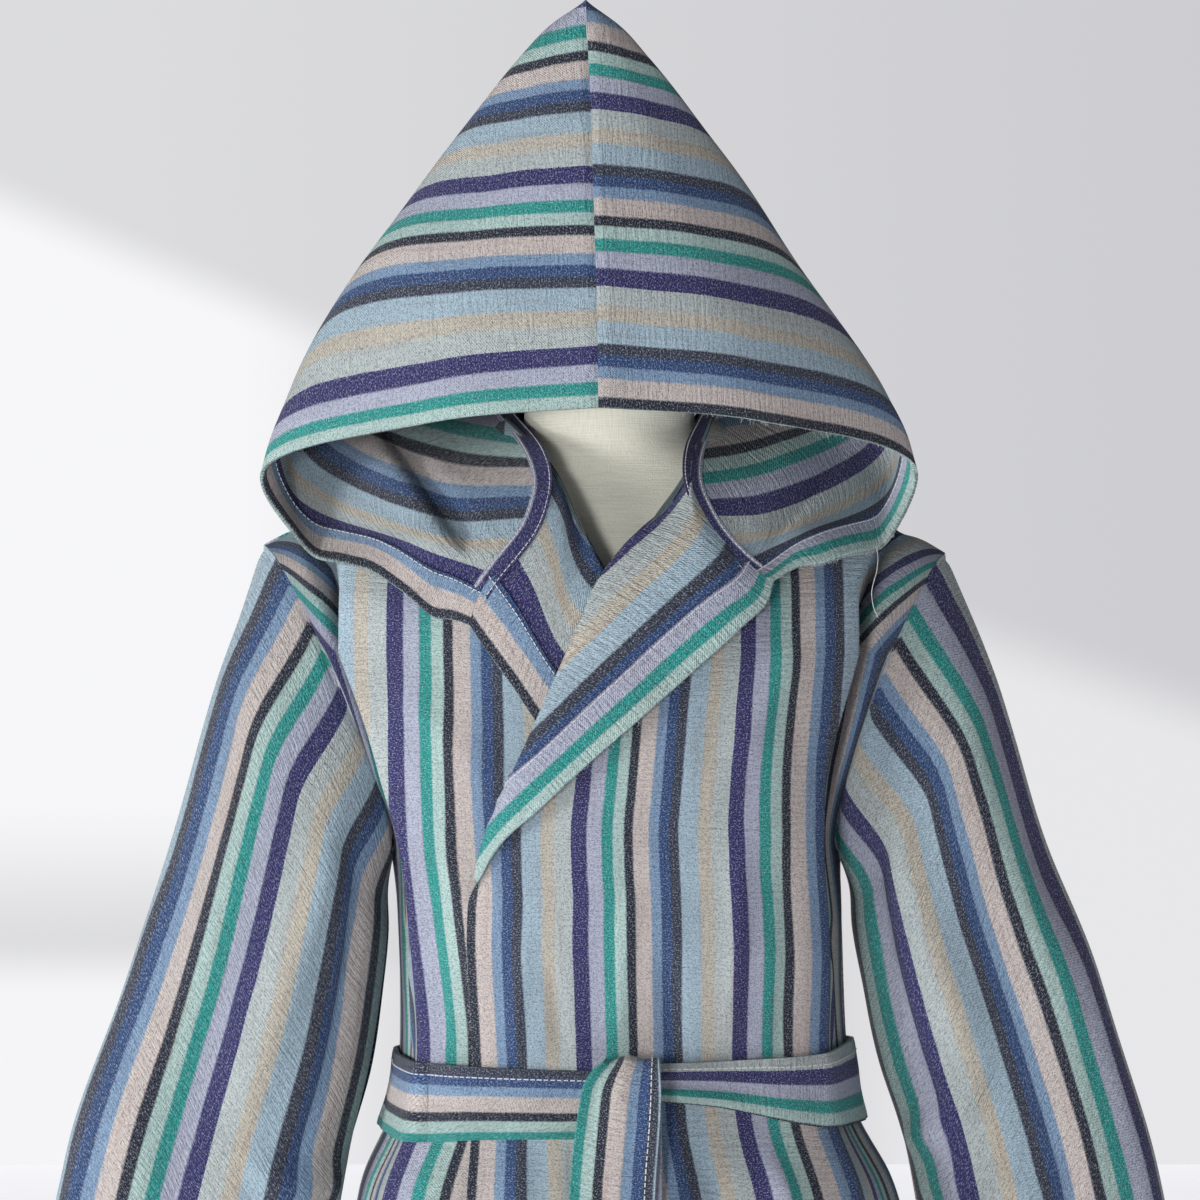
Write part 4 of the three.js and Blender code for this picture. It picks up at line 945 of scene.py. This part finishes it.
def addPiece(piece, replaced):
    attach(piece, "root")
    if replaced:
        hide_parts(replaced)


def addSheet(piece, replaced):
    addPiece(piece, replaced)


# creases, from and to: distance from the free edge and height, then the crease's width and height
frontCreases = {
    "left": [(30, 1062, 44, 1150, 6, 2.2), (66, 1064, 60, 1128, 7, -2), (104, 1062, 120, 1180, 7, 2),
             (150, 1064, 142, 1140, 8, -2), (188, 1062, 200, 1210, 7, 2.4),
             (226, 1062, 236, 1190, 7, -2), (38, 1014, 26, 900, 8, 3), (74, 1012, 80, 930, 7, -2.5),
             (112, 1014, 124, 880, 8, 3), (160, 1012, 172, 930, 7, -2.5), (206, 1014, 228, 870, 9, 3.5),
             (236, 1330, 190, 1250, 14, 2.5), (180, 1400, 150, 1290, 14, 1.8),
             (120, 1180, 250, 1215, 12, 1.6)],
    "right": [(150, 1064, 168, 1170, 7, 2.4), (186, 1062, 178, 1130, 7, -2.2),
              (214, 1064, 232, 1230, 8, 2.6), (246, 1062, 250, 1180, 6, -2.2),
              (176, 1014, 168, 900, 8, 3), (206, 1012, 212, 920, 7, -3), (238, 1014, 252, 880, 9, 3.5),
              (200, 1400, 160, 1300, 14, 1.8), (262, 1300, 200, 1240, 12, 2)],
    "both": [(300, 1130, 330, 1060, 8, 2), (350, 1150, 330, 1070, 8, -2)],
}


frontCloth = {
    "wave": 150, "unevenness": 1.3, "creases": 1.5, "seed": {"left": 3, "right": 4},
    "calmColumns": 30, "calmest": 0.2, "calmRows": 40,
}


def makeFront(side):
    points, u, height = frontSurface(side)
    facesOut = side == "left"
    run = runLength(points[::-1], 0)[::-1]
    z = height[:, None]
    creases = frontCreases[side] + frontCreases["both"]
    lift = (unevenness(u, run, frontCloth["wave"], frontCloth["seed"][side]) * frontCloth["unevenness"]
            + frontCloth["creases"] * creaseHeight(u, z, creases))
    # a lapel and the cloth behind it stay even, so that they keep apart
    columnsPast = np.arange(points.shape[1]) - fronts["turnedColumns"]
    fromRoll = np.clip(columnsPast / frontCloth["calmColumns"], frontCloth["calmest"], 1)[None]
    lift = lift * mix(1, fromRoll, smooth((z - lapelEnd[side]) / frontCloth["calmRows"]))
    points = points + gridNormals(points, facesOut) * lift[..., None]
    normals = gridNormals(points, facesOut)
    name = f"front{side.title()}Cloth"
    piece = clothShell(name, points, normals, phaseFrom(side, u), run, body["wall"])
    return piece, points, normals, u, run


def makeHood(side):
    points, at = hoodSurface(side)
    facesOut = side == "right"
    run = runLength(points, 1)
    lift = unevenness(at, run, hood["wave"], hood["seed"][side]) * hood["unevenness"]
    low = 1 - smooth((at - hood["peakFrom"]) / 20)
    dip = hood["seamDip"] * bell(run / hood["seamReach"])
    points = points + gridNormals(points, facesOut) * ((lift * smooth(run / 30) - dip) * low)[..., None]
    normals = gridNormals(points, facesOut)
    atPeak = (1 - low) * smooth(1 - run / hood["peakReach"])
    normals = unit(mix(normals, np.array(hood["peakNormal"]), atPeak[..., None]))
    name = f"hood{side.title()}Cloth"
    piece = clothShell(name, points, normals, phaseFrom(side, at), run, body["wall"])
    return piece, points, normals, at, run


# creases, from and to: distance round from the underarm and from the armhole, then width and height
sleeveCreases = {
    "left": [(58, 10, 72, 250, 9, 5), (40, 40, 52, 270, 8, -5), (8, 190, 74, 250, 9, 3.5),
             (6, 236, 66, 318, 8, -3.5), (10, 290, 92, 350, 10, 3), (104, 60, 120, 330, 12, 2.5),
             (140, 30, 132, 260, 10, -2)],
    "right": [(60, 20, 78, 280, 9, 5), (40, 40, 50, 300, 8, -5), (96, 90, 118, 420, 12, 3.5),
              (8, 210, 72, 300, 9, 4), (6, 260, 60, 350, 8, -3.5), (120, 60, 110, 330, 10, -2.5),
              (140, 200, 150, 460, 12, 2.5)],
    "both": [(200, 60, 214, 330, 12, 3), (244, 40, 236, 280, 10, -3), (284, 150, 300, 420, 12, 3.5),
             (180, 300, 190, 500, 12, -2.5)],
}


def makeSleeve(side):
    points, phase = sleeveSurface(side)
    facesOut = side == "left"
    normals = gridNormals(points, facesOut)
    run = runLength(points, 0)
    girth = np.linspace(0, sleeve["girth"], sleeve["columns"])[None]
    creases = sleeveCreases[side] + sleeveCreases["both"]
    lift = unevenness(phase, run, sleeve["wave"], sleeve["seed"][side]) * smooth(run / 60)
    dip = sleeve["seamDip"] * bell((run - 3) / 3.5)
    lift = lift + sleeve["creases"] * creaseHeight(girth, run, creases) - dip
    points = points + normals * (lift * smooth(run / 6))[..., None]
    name = f"sleeve{side.title()}Cloth"
    return clothShell(name, points, gridNormals(points, facesOut), phase, run, body["wall"])


backCreases = [
    (-180, 1062, -168, 1160, 8, 2.4), (-140, 1064, -148, 1130, 8, -2.2), (-96, 1062, -84, 1190, 8, 2.4),
    (-52, 1064, -60, 1120, 8, -2.2), (-8, 1062, 6, 1170, 9, 2.4), (44, 1064, 36, 1130, 8, -2.2),
    (92, 1062, 104, 1180, 8, 2.6), (146, 1064, 138, 1120, 7, -2), (190, 1062, 200, 1160, 8, 2.4),
    (-150, 1012, -170, 900, 9, 3), (-70, 1014, -60, 880, 9, 3), (10, 1012, 0, 900, 9, 3),
    (84, 1014, 98, 890, 9, 3), (160, 1012, 176, 900, 9, 3), (-170, 1400, -60, 1290, 16, 2.2),
    (180, 1396, 80, 1300, 16, 2.2),
]


def makeBack():
    points, u = backSurface()
    normals = gridNormals(points, False)
    run = runLength(points[::-1], 0)[::-1]
    lift = unevenness(u, run, backPiece["wave"], backPiece["seed"])
    lift = lift + creaseHeight(u, points[..., 2], backCreases)
    points = points + normals * (lift * smooth(runLength(points, 0) / 60))[..., None]
    phase = backPiece["phase"] + u
    return clothShell("backCloth", points, gridNormals(points, False), phase, run, body["wall"])


# the turned-in edge: a second layer on the reverse, whose stripes run back from the fold
hem = {
    "width": 28, "wall": 1.3, "lift": 1.75, "foldRadius": 2.2, "columns": 22,
    "stitchAt": 26, "stitchRows": 170,
}
onCloth = 0.1  # how far a thread's middle lies off the cloth


def atDistances(grid, distance, wanted):
    def atRow(row, u):
        return np.stack([np.interp(wanted, u, row[:, k]) for k in range(3)], axis=-1)

    return np.array([atRow(row, u) for row, u in zip(grid, distance)])


def hemLayer(name, side, points, normals, distance, run):
    wanted = hem["width"] * np.linspace(0, 1, hem["columns"]) ** 1.5
    base = atDistances(points, distance, wanted)
    out = unit(atDistances(normals, distance, wanted))
    lift = hem["lift"] * np.sqrt(1 - (1 - np.clip(wanted / hem["foldRadius"], 0, 1)) ** 2)
    layer = base - out * lift[None, :, None]
    runs = np.broadcast_to(run[:, :1], layer.shape[:2])
    phase = np.broadcast_to(phaseFrom(side, -wanted)[None], layer.shape[:2])
    piece = clothShell(name, layer, out, phase, runs, hem["wall"])
    places, stitchAt = np.broadcast_to(wanted, layer.shape[:2]), np.array([hem["stitchAt"]])
    seam = atDistances(layer, places, stitchAt)[:, 0]
    seamOut = unit(atDistances(out, places, stitchAt)[:, 0])
    return piece, seam - seamOut * (hem["wall"] / 2 + onCloth)


stitch = {"pitch": 3.6, "length": 2.5, "thread": 0.32}


# a node tree over lines of points, which are drawn as thread by the nodes that are given
def lineTree(name, sizes, drawThread):
    tree = bpy.data.node_groups.new(name, "GeometryNodeTree")
    face = tree.interface
    face.new_socket("Geometry", in_out="INPUT", socket_type="NodeSocketGeometry")
    for label, value in sizes.items():
        face.new_socket(label, in_out="INPUT", socket_type="NodeSocketFloat").default_value = value
    face.new_socket("Finish", in_out="INPUT", socket_type="NodeSocketMaterial")
    face.new_socket("Geometry", in_out="OUTPUT", socket_type="NodeSocketGeometry")

    def node(kind, settings=None, values=None):
        made = tree.nodes.new(kind)
        for key, value in (settings or {}).items():
            setattr(made, key, value)
        for key, value in (values or {}).items():
            made.inputs[key].default_value = value
        return made

    def join(start, output, end, socket):
        tree.links.new(start.outputs[output], end.inputs[socket])

    given, result = node("NodeGroupInput"), node("NodeGroupOutput")
    curve, real = node("GeometryNodeMeshToCurve"), node("GeometryNodeRealizeInstances")
    painted = node("GeometryNodeSetMaterial")
    join(given, "Geometry", curve, "Mesh")
    drawThread(node, join, given, curve, real)
    join(real, "Geometry", painted, "Geometry")
    join(given, "Finish", painted, "Material")
    join(painted, "Geometry", result, "Geometry")
    return tree


def drawStitches(node, join, given, curve, real):
    spaced = node("GeometryNodeResampleCurve", {"mode": "LENGTH"})
    capsule = node("GeometryNodeMeshCylinder", {}, {"Vertices": 6})
    turn = node("FunctionNodeAlignRotationToVector", {"axis": "Z"})
    way = node("GeometryNodeInputTangent")
    chance = node("FunctionNodeRandomValue", {"data_type": "FLOAT"}, {"Min": 0.85, "Max": 1.1, "Seed": 11})
    each = node("GeometryNodeInstanceOnPoints")
    join(curve, "Curve", spaced, "Curve")
    join(given, "Pitch", spaced, "Length")
    join(given, "Thread", capsule, "Radius")
    join(given, "Length", capsule, "Depth")
    join(spaced, "Curve", each, "Points")
    join(capsule, "Mesh", each, "Instance")
    join(way, "Tangent", turn, "Vector")
    join(turn, "Rotation", each, "Rotation")
    join(chance, "Value", each, "Scale")
    join(each, "Instances", real, "Geometry")


def drawTubes(node, join, given, curve, real):
    ring = node("GeometryNodeCurvePrimitiveCircle", {}, {"Resolution": 5})
    tube = node("GeometryNodeCurveToMesh", {}, {"Fill Caps": True})
    join(given, "Thickness", ring, "Radius")
    join(curve, "Curve", tube, "Curve")
    join(ring, "Curve", tube, "Profile Curve")
    join(tube, "Mesh", real, "Geometry")


stitches = lineTree("stitchesAlongLine", {"Pitch": 0.0036, "Length": 0.0025, "Thread": 0.0003}, drawStitches)
tubes = lineTree("threadTubes", {"Thickness": 0.0001}, drawTubes)


def stitchLines(name, lines, sizes=stitch):
    alongLines(name, lines, stitches, {label.title(): size * mm for label, size in sizes.items()})


def alongLines(name, lines, tree, values):
    verts, edges = [], []
    for line in lines:
        start = len(verts)
        verts += (line * mm).tolist()
        edges += [(start + k, start + k + 1) for k in range(len(line) - 1)]
    path = bpy.data.meshes.new(name + "Path")
    path.from_pydata(verts, edges, [])
    holder = placed(name, path)
    modifier = holder.modifiers.new("stitches", "NODES")
    modifier.node_group = tree
    inputs = {item.name: item.identifier for item in tree.interface.items_tree if item.in_out == "INPUT"}
    for key, value in {**values, "Finish": thread}.items():
        modifier[inputs[key]] = value
    depsgraph = bpy.context.evaluated_depsgraph_get()
    plain = bpy.data.meshes.new_from_object(holder.evaluated_get(depsgraph))
    bpy.data.objects.remove(holder)
    addPiece(placed(name, plain), None)


# frayed fibres along the free edges, and a loose thread
fringe = {
    "length": 1.5, "fibre": 0.09, "thread": 0.2, "seed": 41, "count": 240, "frontRows": 175,
    "spread": 0.45, "bend": 0.35, "root": -0.2, "steps": 4,
}
looseThread = [(168, -110, 1388), (169, -118, 1382), (168, -121, 1372), (165, -121, 1360), (166, -120, 1350),
               (169, -119, 1343)]


def fibresAlong(line, way):
    dice, count = np.random.default_rng(fringe["seed"]), fringe["count"]
    places = dice.uniform(0, len(line) - 1, count)

    def at(rows):
        return np.stack([np.interp(places, np.arange(len(line)), rows[:, k]) for k in range(3)], axis=-1)

    start, aim = at(line), at(way)
    aim = unit(aim + dice.normal(0, fringe["spread"], aim.shape))
    bend = dice.normal(0, fringe["bend"], aim.shape)
    length = fringe["length"] * dice.uniform(0.4, 1.5, count)[:, None]
    steps = np.linspace(fringe["root"], 1, fringe["steps"])
    return [np.array([s + (a + b * t) * t * n for t in steps])
            for s, a, b, n in zip(start, aim, bend, length)]


def makeFibres(points, hoodPoints):
    rows = fringe["frontRows"]
    edges = [(points[:rows, 0], points[:rows, 4]), (hoodPoints[0], hoodPoints[4])]
    fibres = [fibre for edge, within in edges for fibre in fibresAlong(edge, unit(edge - within))]
    alongLines("frayedEdge", fibres, tubes, {"Thickness": fringe["fibre"] * mm})
    line = throughPoints([np.array([p], float) for p in looseThread], np.linspace(0, 1, 40))
    alongLines("looseThread", [line], tubes, {"Thickness": fringe["thread"] * mm})


# the neck tape, over the neck seam inside
tape = {"width": 13, "wall": 0.9, "lift": 1.9, "from": 20, "phase": 7.6, "columns": 9, "evenOver": 9}


def makeTape(hoodGrids):
    lines = {}
    for side, (points, normals, at) in hoodGrids.items():
        keep = at[:, 0] >= tape["from"]
        lines[side] = (points[keep, -1], normals[keep, -1])
    end, out = (np.concatenate([lines["left"][k], lines["right"][k][::-1][1:]]) for k in range(2))

    def evened(rows):
        weights, pad = np.ones(tape["evenOver"]) / tape["evenOver"], tape["evenOver"] // 2
        return np.stack([np.convolve(np.pad(rows[:, k], pad, mode="edge"), weights, "valid")
                         for k in range(3)], axis=-1)

    end, out = evened(end), unit(evened(out))
    along = unit(np.gradient(end, axis=0))
    across = unit(np.cross(out, along))
    share = np.linspace(-0.5, 0.5, tape["columns"])
    grid = end[:, None] - out[:, None] * tape["lift"] + across[:, None] * share[None, :, None] * tape["width"]
    normal = np.broadcast_to(-out[:, None], grid.shape)
    run = runLength(grid, 0)
    phase = np.broadcast_to(tape["phase"] + share[None] * tape["width"], grid.shape[:2])
    piece = clothShell("neckTapeCloth", grid, normal, phase, run, tape["wall"])
    seams = [grid[:, k] + normal[:, k] * (tape["wall"] / 2 + onCloth) for k in (1, -2)]
    return piece, seams


belt = {
    "gap": 5, "wall": 2.6, "rows": 15, "steps": 300, "width": 50, "faceTurns": 0.36, "thinEdge": -0.9,
    "wave": 60, "seed": 21, "leftPhase": 130, "rightPhase": 51.4, "rightWidth": 54,
}
# creases on both sides of the knot: run and height from and to, then width and height
beltCreases = {
    "left": [(4, 10, 60, 17, 5, 1.8), (4, -2, 90, -6, 6, -1.6), (10, -8, 70, -18, 5, 1.5),
             (140, 12, 220, 4, 8, 1.0)],
    "right": [(4, 8, 80, 12, 6, -1.2), (4, -6, 70, -14, 7, 1.3), (120, 6, 200, -4, 9, 1.0),
              (40, -2, 120, 0, 8, -0.9)],
}
band = Table("at z height", [
    (0, 1050, 22), (0.05, 1048, 30), (0.14, 1042, 44), (0.25, 1040, 52), (0.5, 1040, 46), (0.75, 1034, 50),
    (0.86, 1034, 49), (0.95, 1036, 45), (1, 1036, 42),
])


# the body's outline at the heights z, from the knot round by the left side, the back and the right side
def waistLine(z):
    def onFront(side, x, lift):
        return vec(x, hangY(side, x, z) - lift, z)

    def onPleat(side, share):
        return pleatPoint(side, z, np.full(z.shape, share))[0]

    def behind(side, share):
        return backHang(side, z, np.full(z.shape, share))

    leftFront = [onFront("left", x, liftOf("left", x, z)) for x in (14, 62, 86, 108, 126)]
    leftSide = [onPleat("left", share) for share in (0.0, 0.66, 0.86, 1.0)]
    rearLeft = [behind("left", share) for share in (0.93, 0.8, 0.6, 0.4, 0.2, 0.0)]
    rearRight = [behind("right", share) for share in (0.2, 0.4, 0.6, 0.8, 0.93)]
    rightSide = [onPleat("right", share) for share in (1.0, 0.86, 0.66, 0.0)]
    rightFront = [onFront("right", -112.0, 1), onFront("right", -101.0, 6)]
    rightFront += [onFront("right", x, body["overLift"]) for x in (-90.0, -58.0, -6.0)]
    return leftFront + leftSide + rearLeft + rearRight + rightSide + rightFront


def makeBelt():
    up = np.linspace(0.5, -0.5, belt["rows"])[:, None]
    count = len(waistLine(np.zeros((1, 1))))
    marks = np.linspace(0, 1, count)[None]
    z = band.read("z", marks) + up * band.read("height", marks)
    line = [waistLine(z[:, k:k + 1])[k] for k in range(count)]
    share = np.broadcast_to(np.linspace(0, 1, belt["steps"])[None], (belt["rows"], belt["steps"]))
    grid = throughPoints([np.broadcast_to(p, (*share.shape, 3)) for p in line], share)
    way = unit(np.gradient(grid, axis=1))
    out = unit(np.cross(way, np.array([0.0, 0.0, 1.0])))
    run = runLength(grid, 1)
    length = run[:, -1:]
    thinEdge = belt["thinEdge"] * np.abs(2 * up) ** 10
    across = up * belt["width"]
    height = (creaseHeight(run, across, beltCreases["left"])
              + creaseHeight(length - run, across, beltCreases["right"])
              + unevenness(run, across, belt["wave"], belt["seed"]) * 0.5)
    grid = grid + out * (belt["gap"] + thinEdge + height)[..., None]
    # one face of the folded strip shows on the wearer's left and the other on the right
    leftPhase, rightPhase = belt["leftPhase"] - across, belt["rightPhase"] + up * belt["rightWidth"]
    phase = np.where(share < belt["faceTurns"], leftPhase, rightPhase)
    return clothShell("beltBandCloth", grid, out, phase, run, belt["wall"]), grid, out


tail = {"wall": 2.4, "steps": 150, "columns": 25, "width": 54, "repeat": 56, "wave": 90, "unevenness": 0.8}


# a hanging end: its middle line down the front, and its edges
def makeTail(name, path, left, right, phase, ripples, seed):
    steps, columns = tail["steps"], tail["columns"]
    line = throughPoints([np.array([0.0, y, z])[None] for y, z in path], np.linspace(0, 1, steps))
    share = np.linspace(0, 1, columns)[None]
    z = line[:, 2:3]
    leftX, rightX = left.read("x", z), right.read("x", z)
    x = mix(leftX, rightX, share)
    along = unit(np.gradient(line, axis=0))[:, None]
    out = unit(np.cross(np.array([1.0, 0.0, 0.0]), along)) * np.ones((1, columns, 1))
    grid = vec(x, line[:, 1:2], z)
    run = runLength(grid, 0)
    across = (share - 0.5) * tail["width"] + run * 0
    bend = (creaseHeight(across, run, ripples)
            + unevenness(across, run, tail["wave"], seed) * tail["unevenness"]
            + belt["thinEdge"] * np.abs(2 * share - 1) ** 12)
    grid = grid + out * bend[..., None]
    normals = gridNormals(grid, True)
    stripePlace = phase + share * tail["repeat"] + run * 0
    return clothShell(name, grid, normals, stripePlace, run, tail["wall"]), grid, normals


frontTail = {
    "path": [(-126, 1046), (-130, 1062), (-138, 1066), (-144, 1058), (-144.5, 1028), (-143, 974),
             (-149, 900), (-155, 800), (-159, 652)],
    "left": Table("at x", [(652, -27), (900, -26), (980, -25), (1010, -22.5), (1040, -18.5), (1050, -16),
                           (1058, -11), (1063, -6), (1066, -3)]),
    "right": Table("at x", [(652, 29), (900, 28), (980, 28.3), (1048, 32), (1066, 31)]),
    "phase": 24, "seed": 31,
    "ripples": [(-20, 10, -16, 90, 5, 1.6), (-4, 8, -2, 70, 6, -1.6), (14, 14, 10, 110, 5, 1.4),
                (4, 150, -8, 300, 8, 1.2)],
}
backTail = {
    "path": [(-128, 1040), (-132, 1020), (-135.5, 974), (-143, 900), (-149.5, 800), (-153.5, 618)],
    "left": Table("at x", [(618, -21), (900, -19), (1040, -17)]),
    "right": Table("at x", [(618, 35), (900, 34), (1040, 32)]),
    "phase": 80, "seed": 32,
    "ripples": [(-10, 10, -14, 100, 6, 1.4), (10, 120, 4, 260, 8, 1.3)],
}


# the four-sided faces between rings of points
def ringFaces(rings, columns, first=0):
    at = lambda i, j: first + i * columns + j % columns
    return [(at(i, j), at(i, j + 1), at(i + 1, j + 1), at(i + 1, j)) for i in rings for j in range(columns)]


knotLump = {
    "centre": (7, -131.5, 1045), "half": (20, 8, 13), "power": 0.62, "rows": 40, "columns": 64,
    "ripple": 0.8, "rippleWidth": 5.5, "phase": 55, "phaseZ": 1046,
}


def makeKnot():
    rows, columns, power = knotLump["rows"], knotLump["columns"], knotLump["power"]
    rise = np.linspace(-math.pi / 2, math.pi / 2, rows)[:, None]
    turn = np.linspace(0, 2 * math.pi, columns + 1)[None]
    ring = signedPower(np.cos(rise), power)
    ways = (ring * signedPower(np.cos(turn), power), ring * signedPower(np.sin(turn), power),
            signedPower(np.sin(rise), power) + 0 * turn)
    x, y, z = (centre + half * way for centre, half, way in zip(knotLump["centre"], knotLump["half"], ways))
    points = vec(x, y, z + knotLump["ripple"] * np.sin(x / knotLump["rippleWidth"]) * ring) * mm
    verts = np.concatenate([points[:1, 0], points[1:-1, :-1].reshape(-1, 3), points[-1:, 0]])
    faces = ringFaces(range(rows - 3), columns, 1)
    last, lastRing = len(verts) - 1, len(verts) - 1 - columns
    faces += [(0, 1 + (j + 1) % columns, 1 + j) for j in range(columns)]
    faces += [(last, lastRing + j, lastRing + (j + 1) % columns) for j in range(columns)]
    mesh = bpy.data.meshes.new("beltKnotCloth")
    mesh.from_pydata(verts.tolist(), [], faces)
    layer = mesh.uv_layers.new(name="cloth")
    for loop in mesh.loops:
        spot = mesh.vertices[loop.vertex_index].co
        stripePlace = knotLump["phase"] + spot.z / mm - knotLump["phaseZ"]
        layer.data[loop.index].uv = (stripePlace / 100, spot.x / mm / 100)
    mesh.polygons.foreach_set("use_smooth", np.ones(len(mesh.polygons), bool))
    mesh.materials.append(cotton)
    return placed("beltKnotCloth", mesh)


hoodGrids = {}
for side in ("left", "right"):
    title = side.title()
    front, points, normals, u, run = makeFront(side)
    edge, seam = hemLayer(f"front{title}Hem", side, points, normals, u, run)
    half, *hoodGrid = makeHood(side)
    turned = (np.swapaxes(grid, 0, 1) for grid in hoodGrid)
    hoodEdge, hoodSeamLine = hemLayer(f"hood{title}Hem", side, *turned)
    stitchLines(f"edgeStitches{title}", [seam[:hem["stitchRows"]], hoodSeamLine])
    addSheet(front, f"front_{side}")
    addSheet(half, f"hood_{side}")
    addSheet(edge, None)
    addSheet(hoodEdge, None)
    addSheet(makeSleeve(side), f"sleeve_{side}")
    if side == "left":
        makeFibres(points, hoodGrid[0])
    hoodGrids[side] = hoodGrid[:3]
addSheet(makeBack(), "back")
neckTape, tapeSeams = makeTape(hoodGrids)
addSheet(neckTape, "neck_tape")
stitchLines("tapeStitches", tapeSeams)
beltBand, beltGrid, beltOut = makeBelt()
addSheet(beltBand, "belt_band")
tailFront, tailGrid, tailOut = makeTail("beltTailFrontCloth", **frontTail)
addSheet(tailFront, "belt_tail_front")
tailBack, _, _ = makeTail("beltTailBackCloth", **backTail)
addSheet(tailBack, "belt_tail_back")
addPiece(makeKnot(), "belt_knot")
beltSeams = [beltGrid[2] + beltOut[2] * (belt["wall"] / 2 + onCloth),
             tailGrid[:, 21] + tailOut[:, 21] * (tail["wall"] / 2 + onCloth)]
stitchLines("beltStitches", beltSeams, {"pitch": 4.2, "length": 3.0, "thread": 0.4})
print("robe made")

formSections = Table("at half front back", [
    (1535, 55, 55, 55), (1500, 55, 55, 55), (1475, 56, 55, 56), (1460, 61, 56, 60), (1446, 84, 58, 66),
    (1430, 120, 63, 72), (1412, 152, 72, 77), (1388, 168, 82, 82), (1345, 162, 98, 86), (1285, 152, 108, 88),
    (1225, 142, 106, 86), (1150, 128, 96, 78), (1060, 116, 86, 70), (980, 138, 96, 88), (910, 150, 102, 98),
    (850, 150, 100, 96),
])


def smoothSkin(name, rings, material, node):
    rows, columns = rings.shape[:2]
    faces = ringFaces(range(rows - 1), columns)
    faces += [tuple(reversed(range(columns))), tuple(range((rows - 1) * columns, rows * columns))]
    mesh = bpy.data.meshes.new(name)
    mesh.from_pydata((rings.reshape(-1, 3) * mm).tolist(), [], faces)
    mesh.polygons.foreach_set("use_smooth", np.array([len(f) == 4 for f in faces]))
    mesh.materials.append(material)
    addPiece(placed(name, mesh), node)


def makeForm():
    z = np.concatenate([np.linspace(850, 1390, 60), np.linspace(1394, 1535, 60)])[:, None]
    angle = np.linspace(0, 2 * math.pi, 121)[None, :-1]
    depth = np.where(np.sin(angle) < 0, formSections.read("front", z), formSections.read("back", z))
    rings = vec(formSections.read("half", z) * np.cos(angle), depth * np.sin(angle), z)
    smoothSkin("formBody", rings, linen, "form_torso")


# a turned part from its profile of radius and height, with small rounds where it turns
def makeTurned(name, profile, material, node):
    angle = np.linspace(0, 2 * math.pi, 97)[None, :-1]
    radius, z = np.array(profile, float).T[:, :, None]
    smoothSkin(name, vec(radius * np.cos(angle), radius * np.sin(angle), z), material, node)


def rounded(corners, radius=1.0):
    points = []
    for k, (r, z) in enumerate(corners):
        if k in (0, len(corners) - 1):
            points.append((r, z))
            continue
        before, after = np.array(corners[k - 1], float), np.array(corners[k + 1], float)
        here = np.array([r, z], float)
        wayIn, wayOut = before - here, after - here
        cut = min(radius, 0.4 * np.linalg.norm(wayIn), 0.4 * np.linalg.norm(wayOut))
        start, end = here + unit(wayIn) * cut, here + unit(wayOut) * cut
        points += [tuple(start), tuple(start * 0.25 + here * 0.5 + end * 0.25), tuple(end)]
    return points


makeForm()
capCorners = [(1, 1535.3), (52, 1535.3), (54, 1538), (54, 1542), (50, 1545.3), (1, 1547.3)]
collarCorners = [(13.3, 824), (26, 824), (34, 842), (34, 849.7), (1, 849.7)]
poleCorners = [(1, 20.3), (13, 20.3), (13, 837.7), (1, 837.7)]
baseCorners = [(1, 0), (161, 0), (165, 4), (165, 12), (159, 18), (151, 20), (1, 20)]
makeTurned("neckCapTurned", rounded(capCorners), wood, "form_neck_cap")
makeTurned("collarTurned", rounded(collarCorners), metal, "form_collar")
makeTurned("poleTurned", rounded(poleCorners, 0.5), metal, "stand_pole")
makeTurned("baseTurned", rounded(baseCorners, 2.0), metal, "stand_base")
print("form and stand made")


def stagePlane(name, corners, material):
    mesh = bpy.data.meshes.new(name)
    mesh.from_pydata(corners, [], [(0, 1, 2, 3)])
    mesh.materials.append(material)
    placed(name, mesh)


stagePlane("floor", [(-9, -9, 0), (9, -9, 0), (9, 7, 0), (-9, 7, 0)], plainFloor())
stagePlane("wall", [(-9, 7, 0), (9, 7, 0), (9, 7, 6), (-9, 7, 6)], paleWall())

lights = {
    "window": {"place": (-3.2, -1.8, 1.2), "aimZ": 1.3, "size": 1.0, "power": 84, "colour": (1.0, 1.0, 0.98)},
    "front": {"place": (-1.0, -3.2, 1.1), "aimZ": 1.4, "size": 0.6, "power": 42, "colour": (1.0, 1.0, 0.99)},
    "behind": {"place": (-1.4, 4.2, 2.6), "aimZ": 1.2, "size": 2.0, "power": 26, "colour": (1, 1, 1)},
}
for name, light in lights.items():
    lamp = bpy.data.lights.new(name, "AREA")
    lamp.energy, lamp.size, lamp.color = light["power"], light["size"], light["colour"]
    holder = placed(name, lamp)
    holder.location = light["place"]
    way = Vector((0, 0, light["aimZ"])) - Vector(light["place"])
    holder.rotation_euler = way.to_track_quat("-Z", "Y").to_euler()

world = bpy.data.worlds.new("softRoom")
world.use_nodes = True
world.node_tree.nodes["Background"].inputs[0].default_value = (0.94, 0.96, 1.0, 1)
world.node_tree.nodes["Background"].inputs[1].default_value = 0.13
bpy.context.scene.world = world
bpy.context.scene.view_settings.view_transform = "Standard"

view = {"x": -6, "y": -2650, "z": 1354, "distance": 2550, "width": 761, "sensor": 36}
camera = bpy.data.cameras.new("camera")
camera.sensor_width = view["sensor"]
camera.lens = view["sensor"] * view["distance"] / view["width"]
camera.clip_start, camera.clip_end = 0.1, 30
cameraObject = placed("camera", camera)
cameraObject.location = (view["x"] * mm, view["y"] * mm, view["z"] * mm)
cameraObject.rotation_euler = (math.pi / 2, 0, 0)
bpy.context.scene.camera = cameraObject
print("stage made")
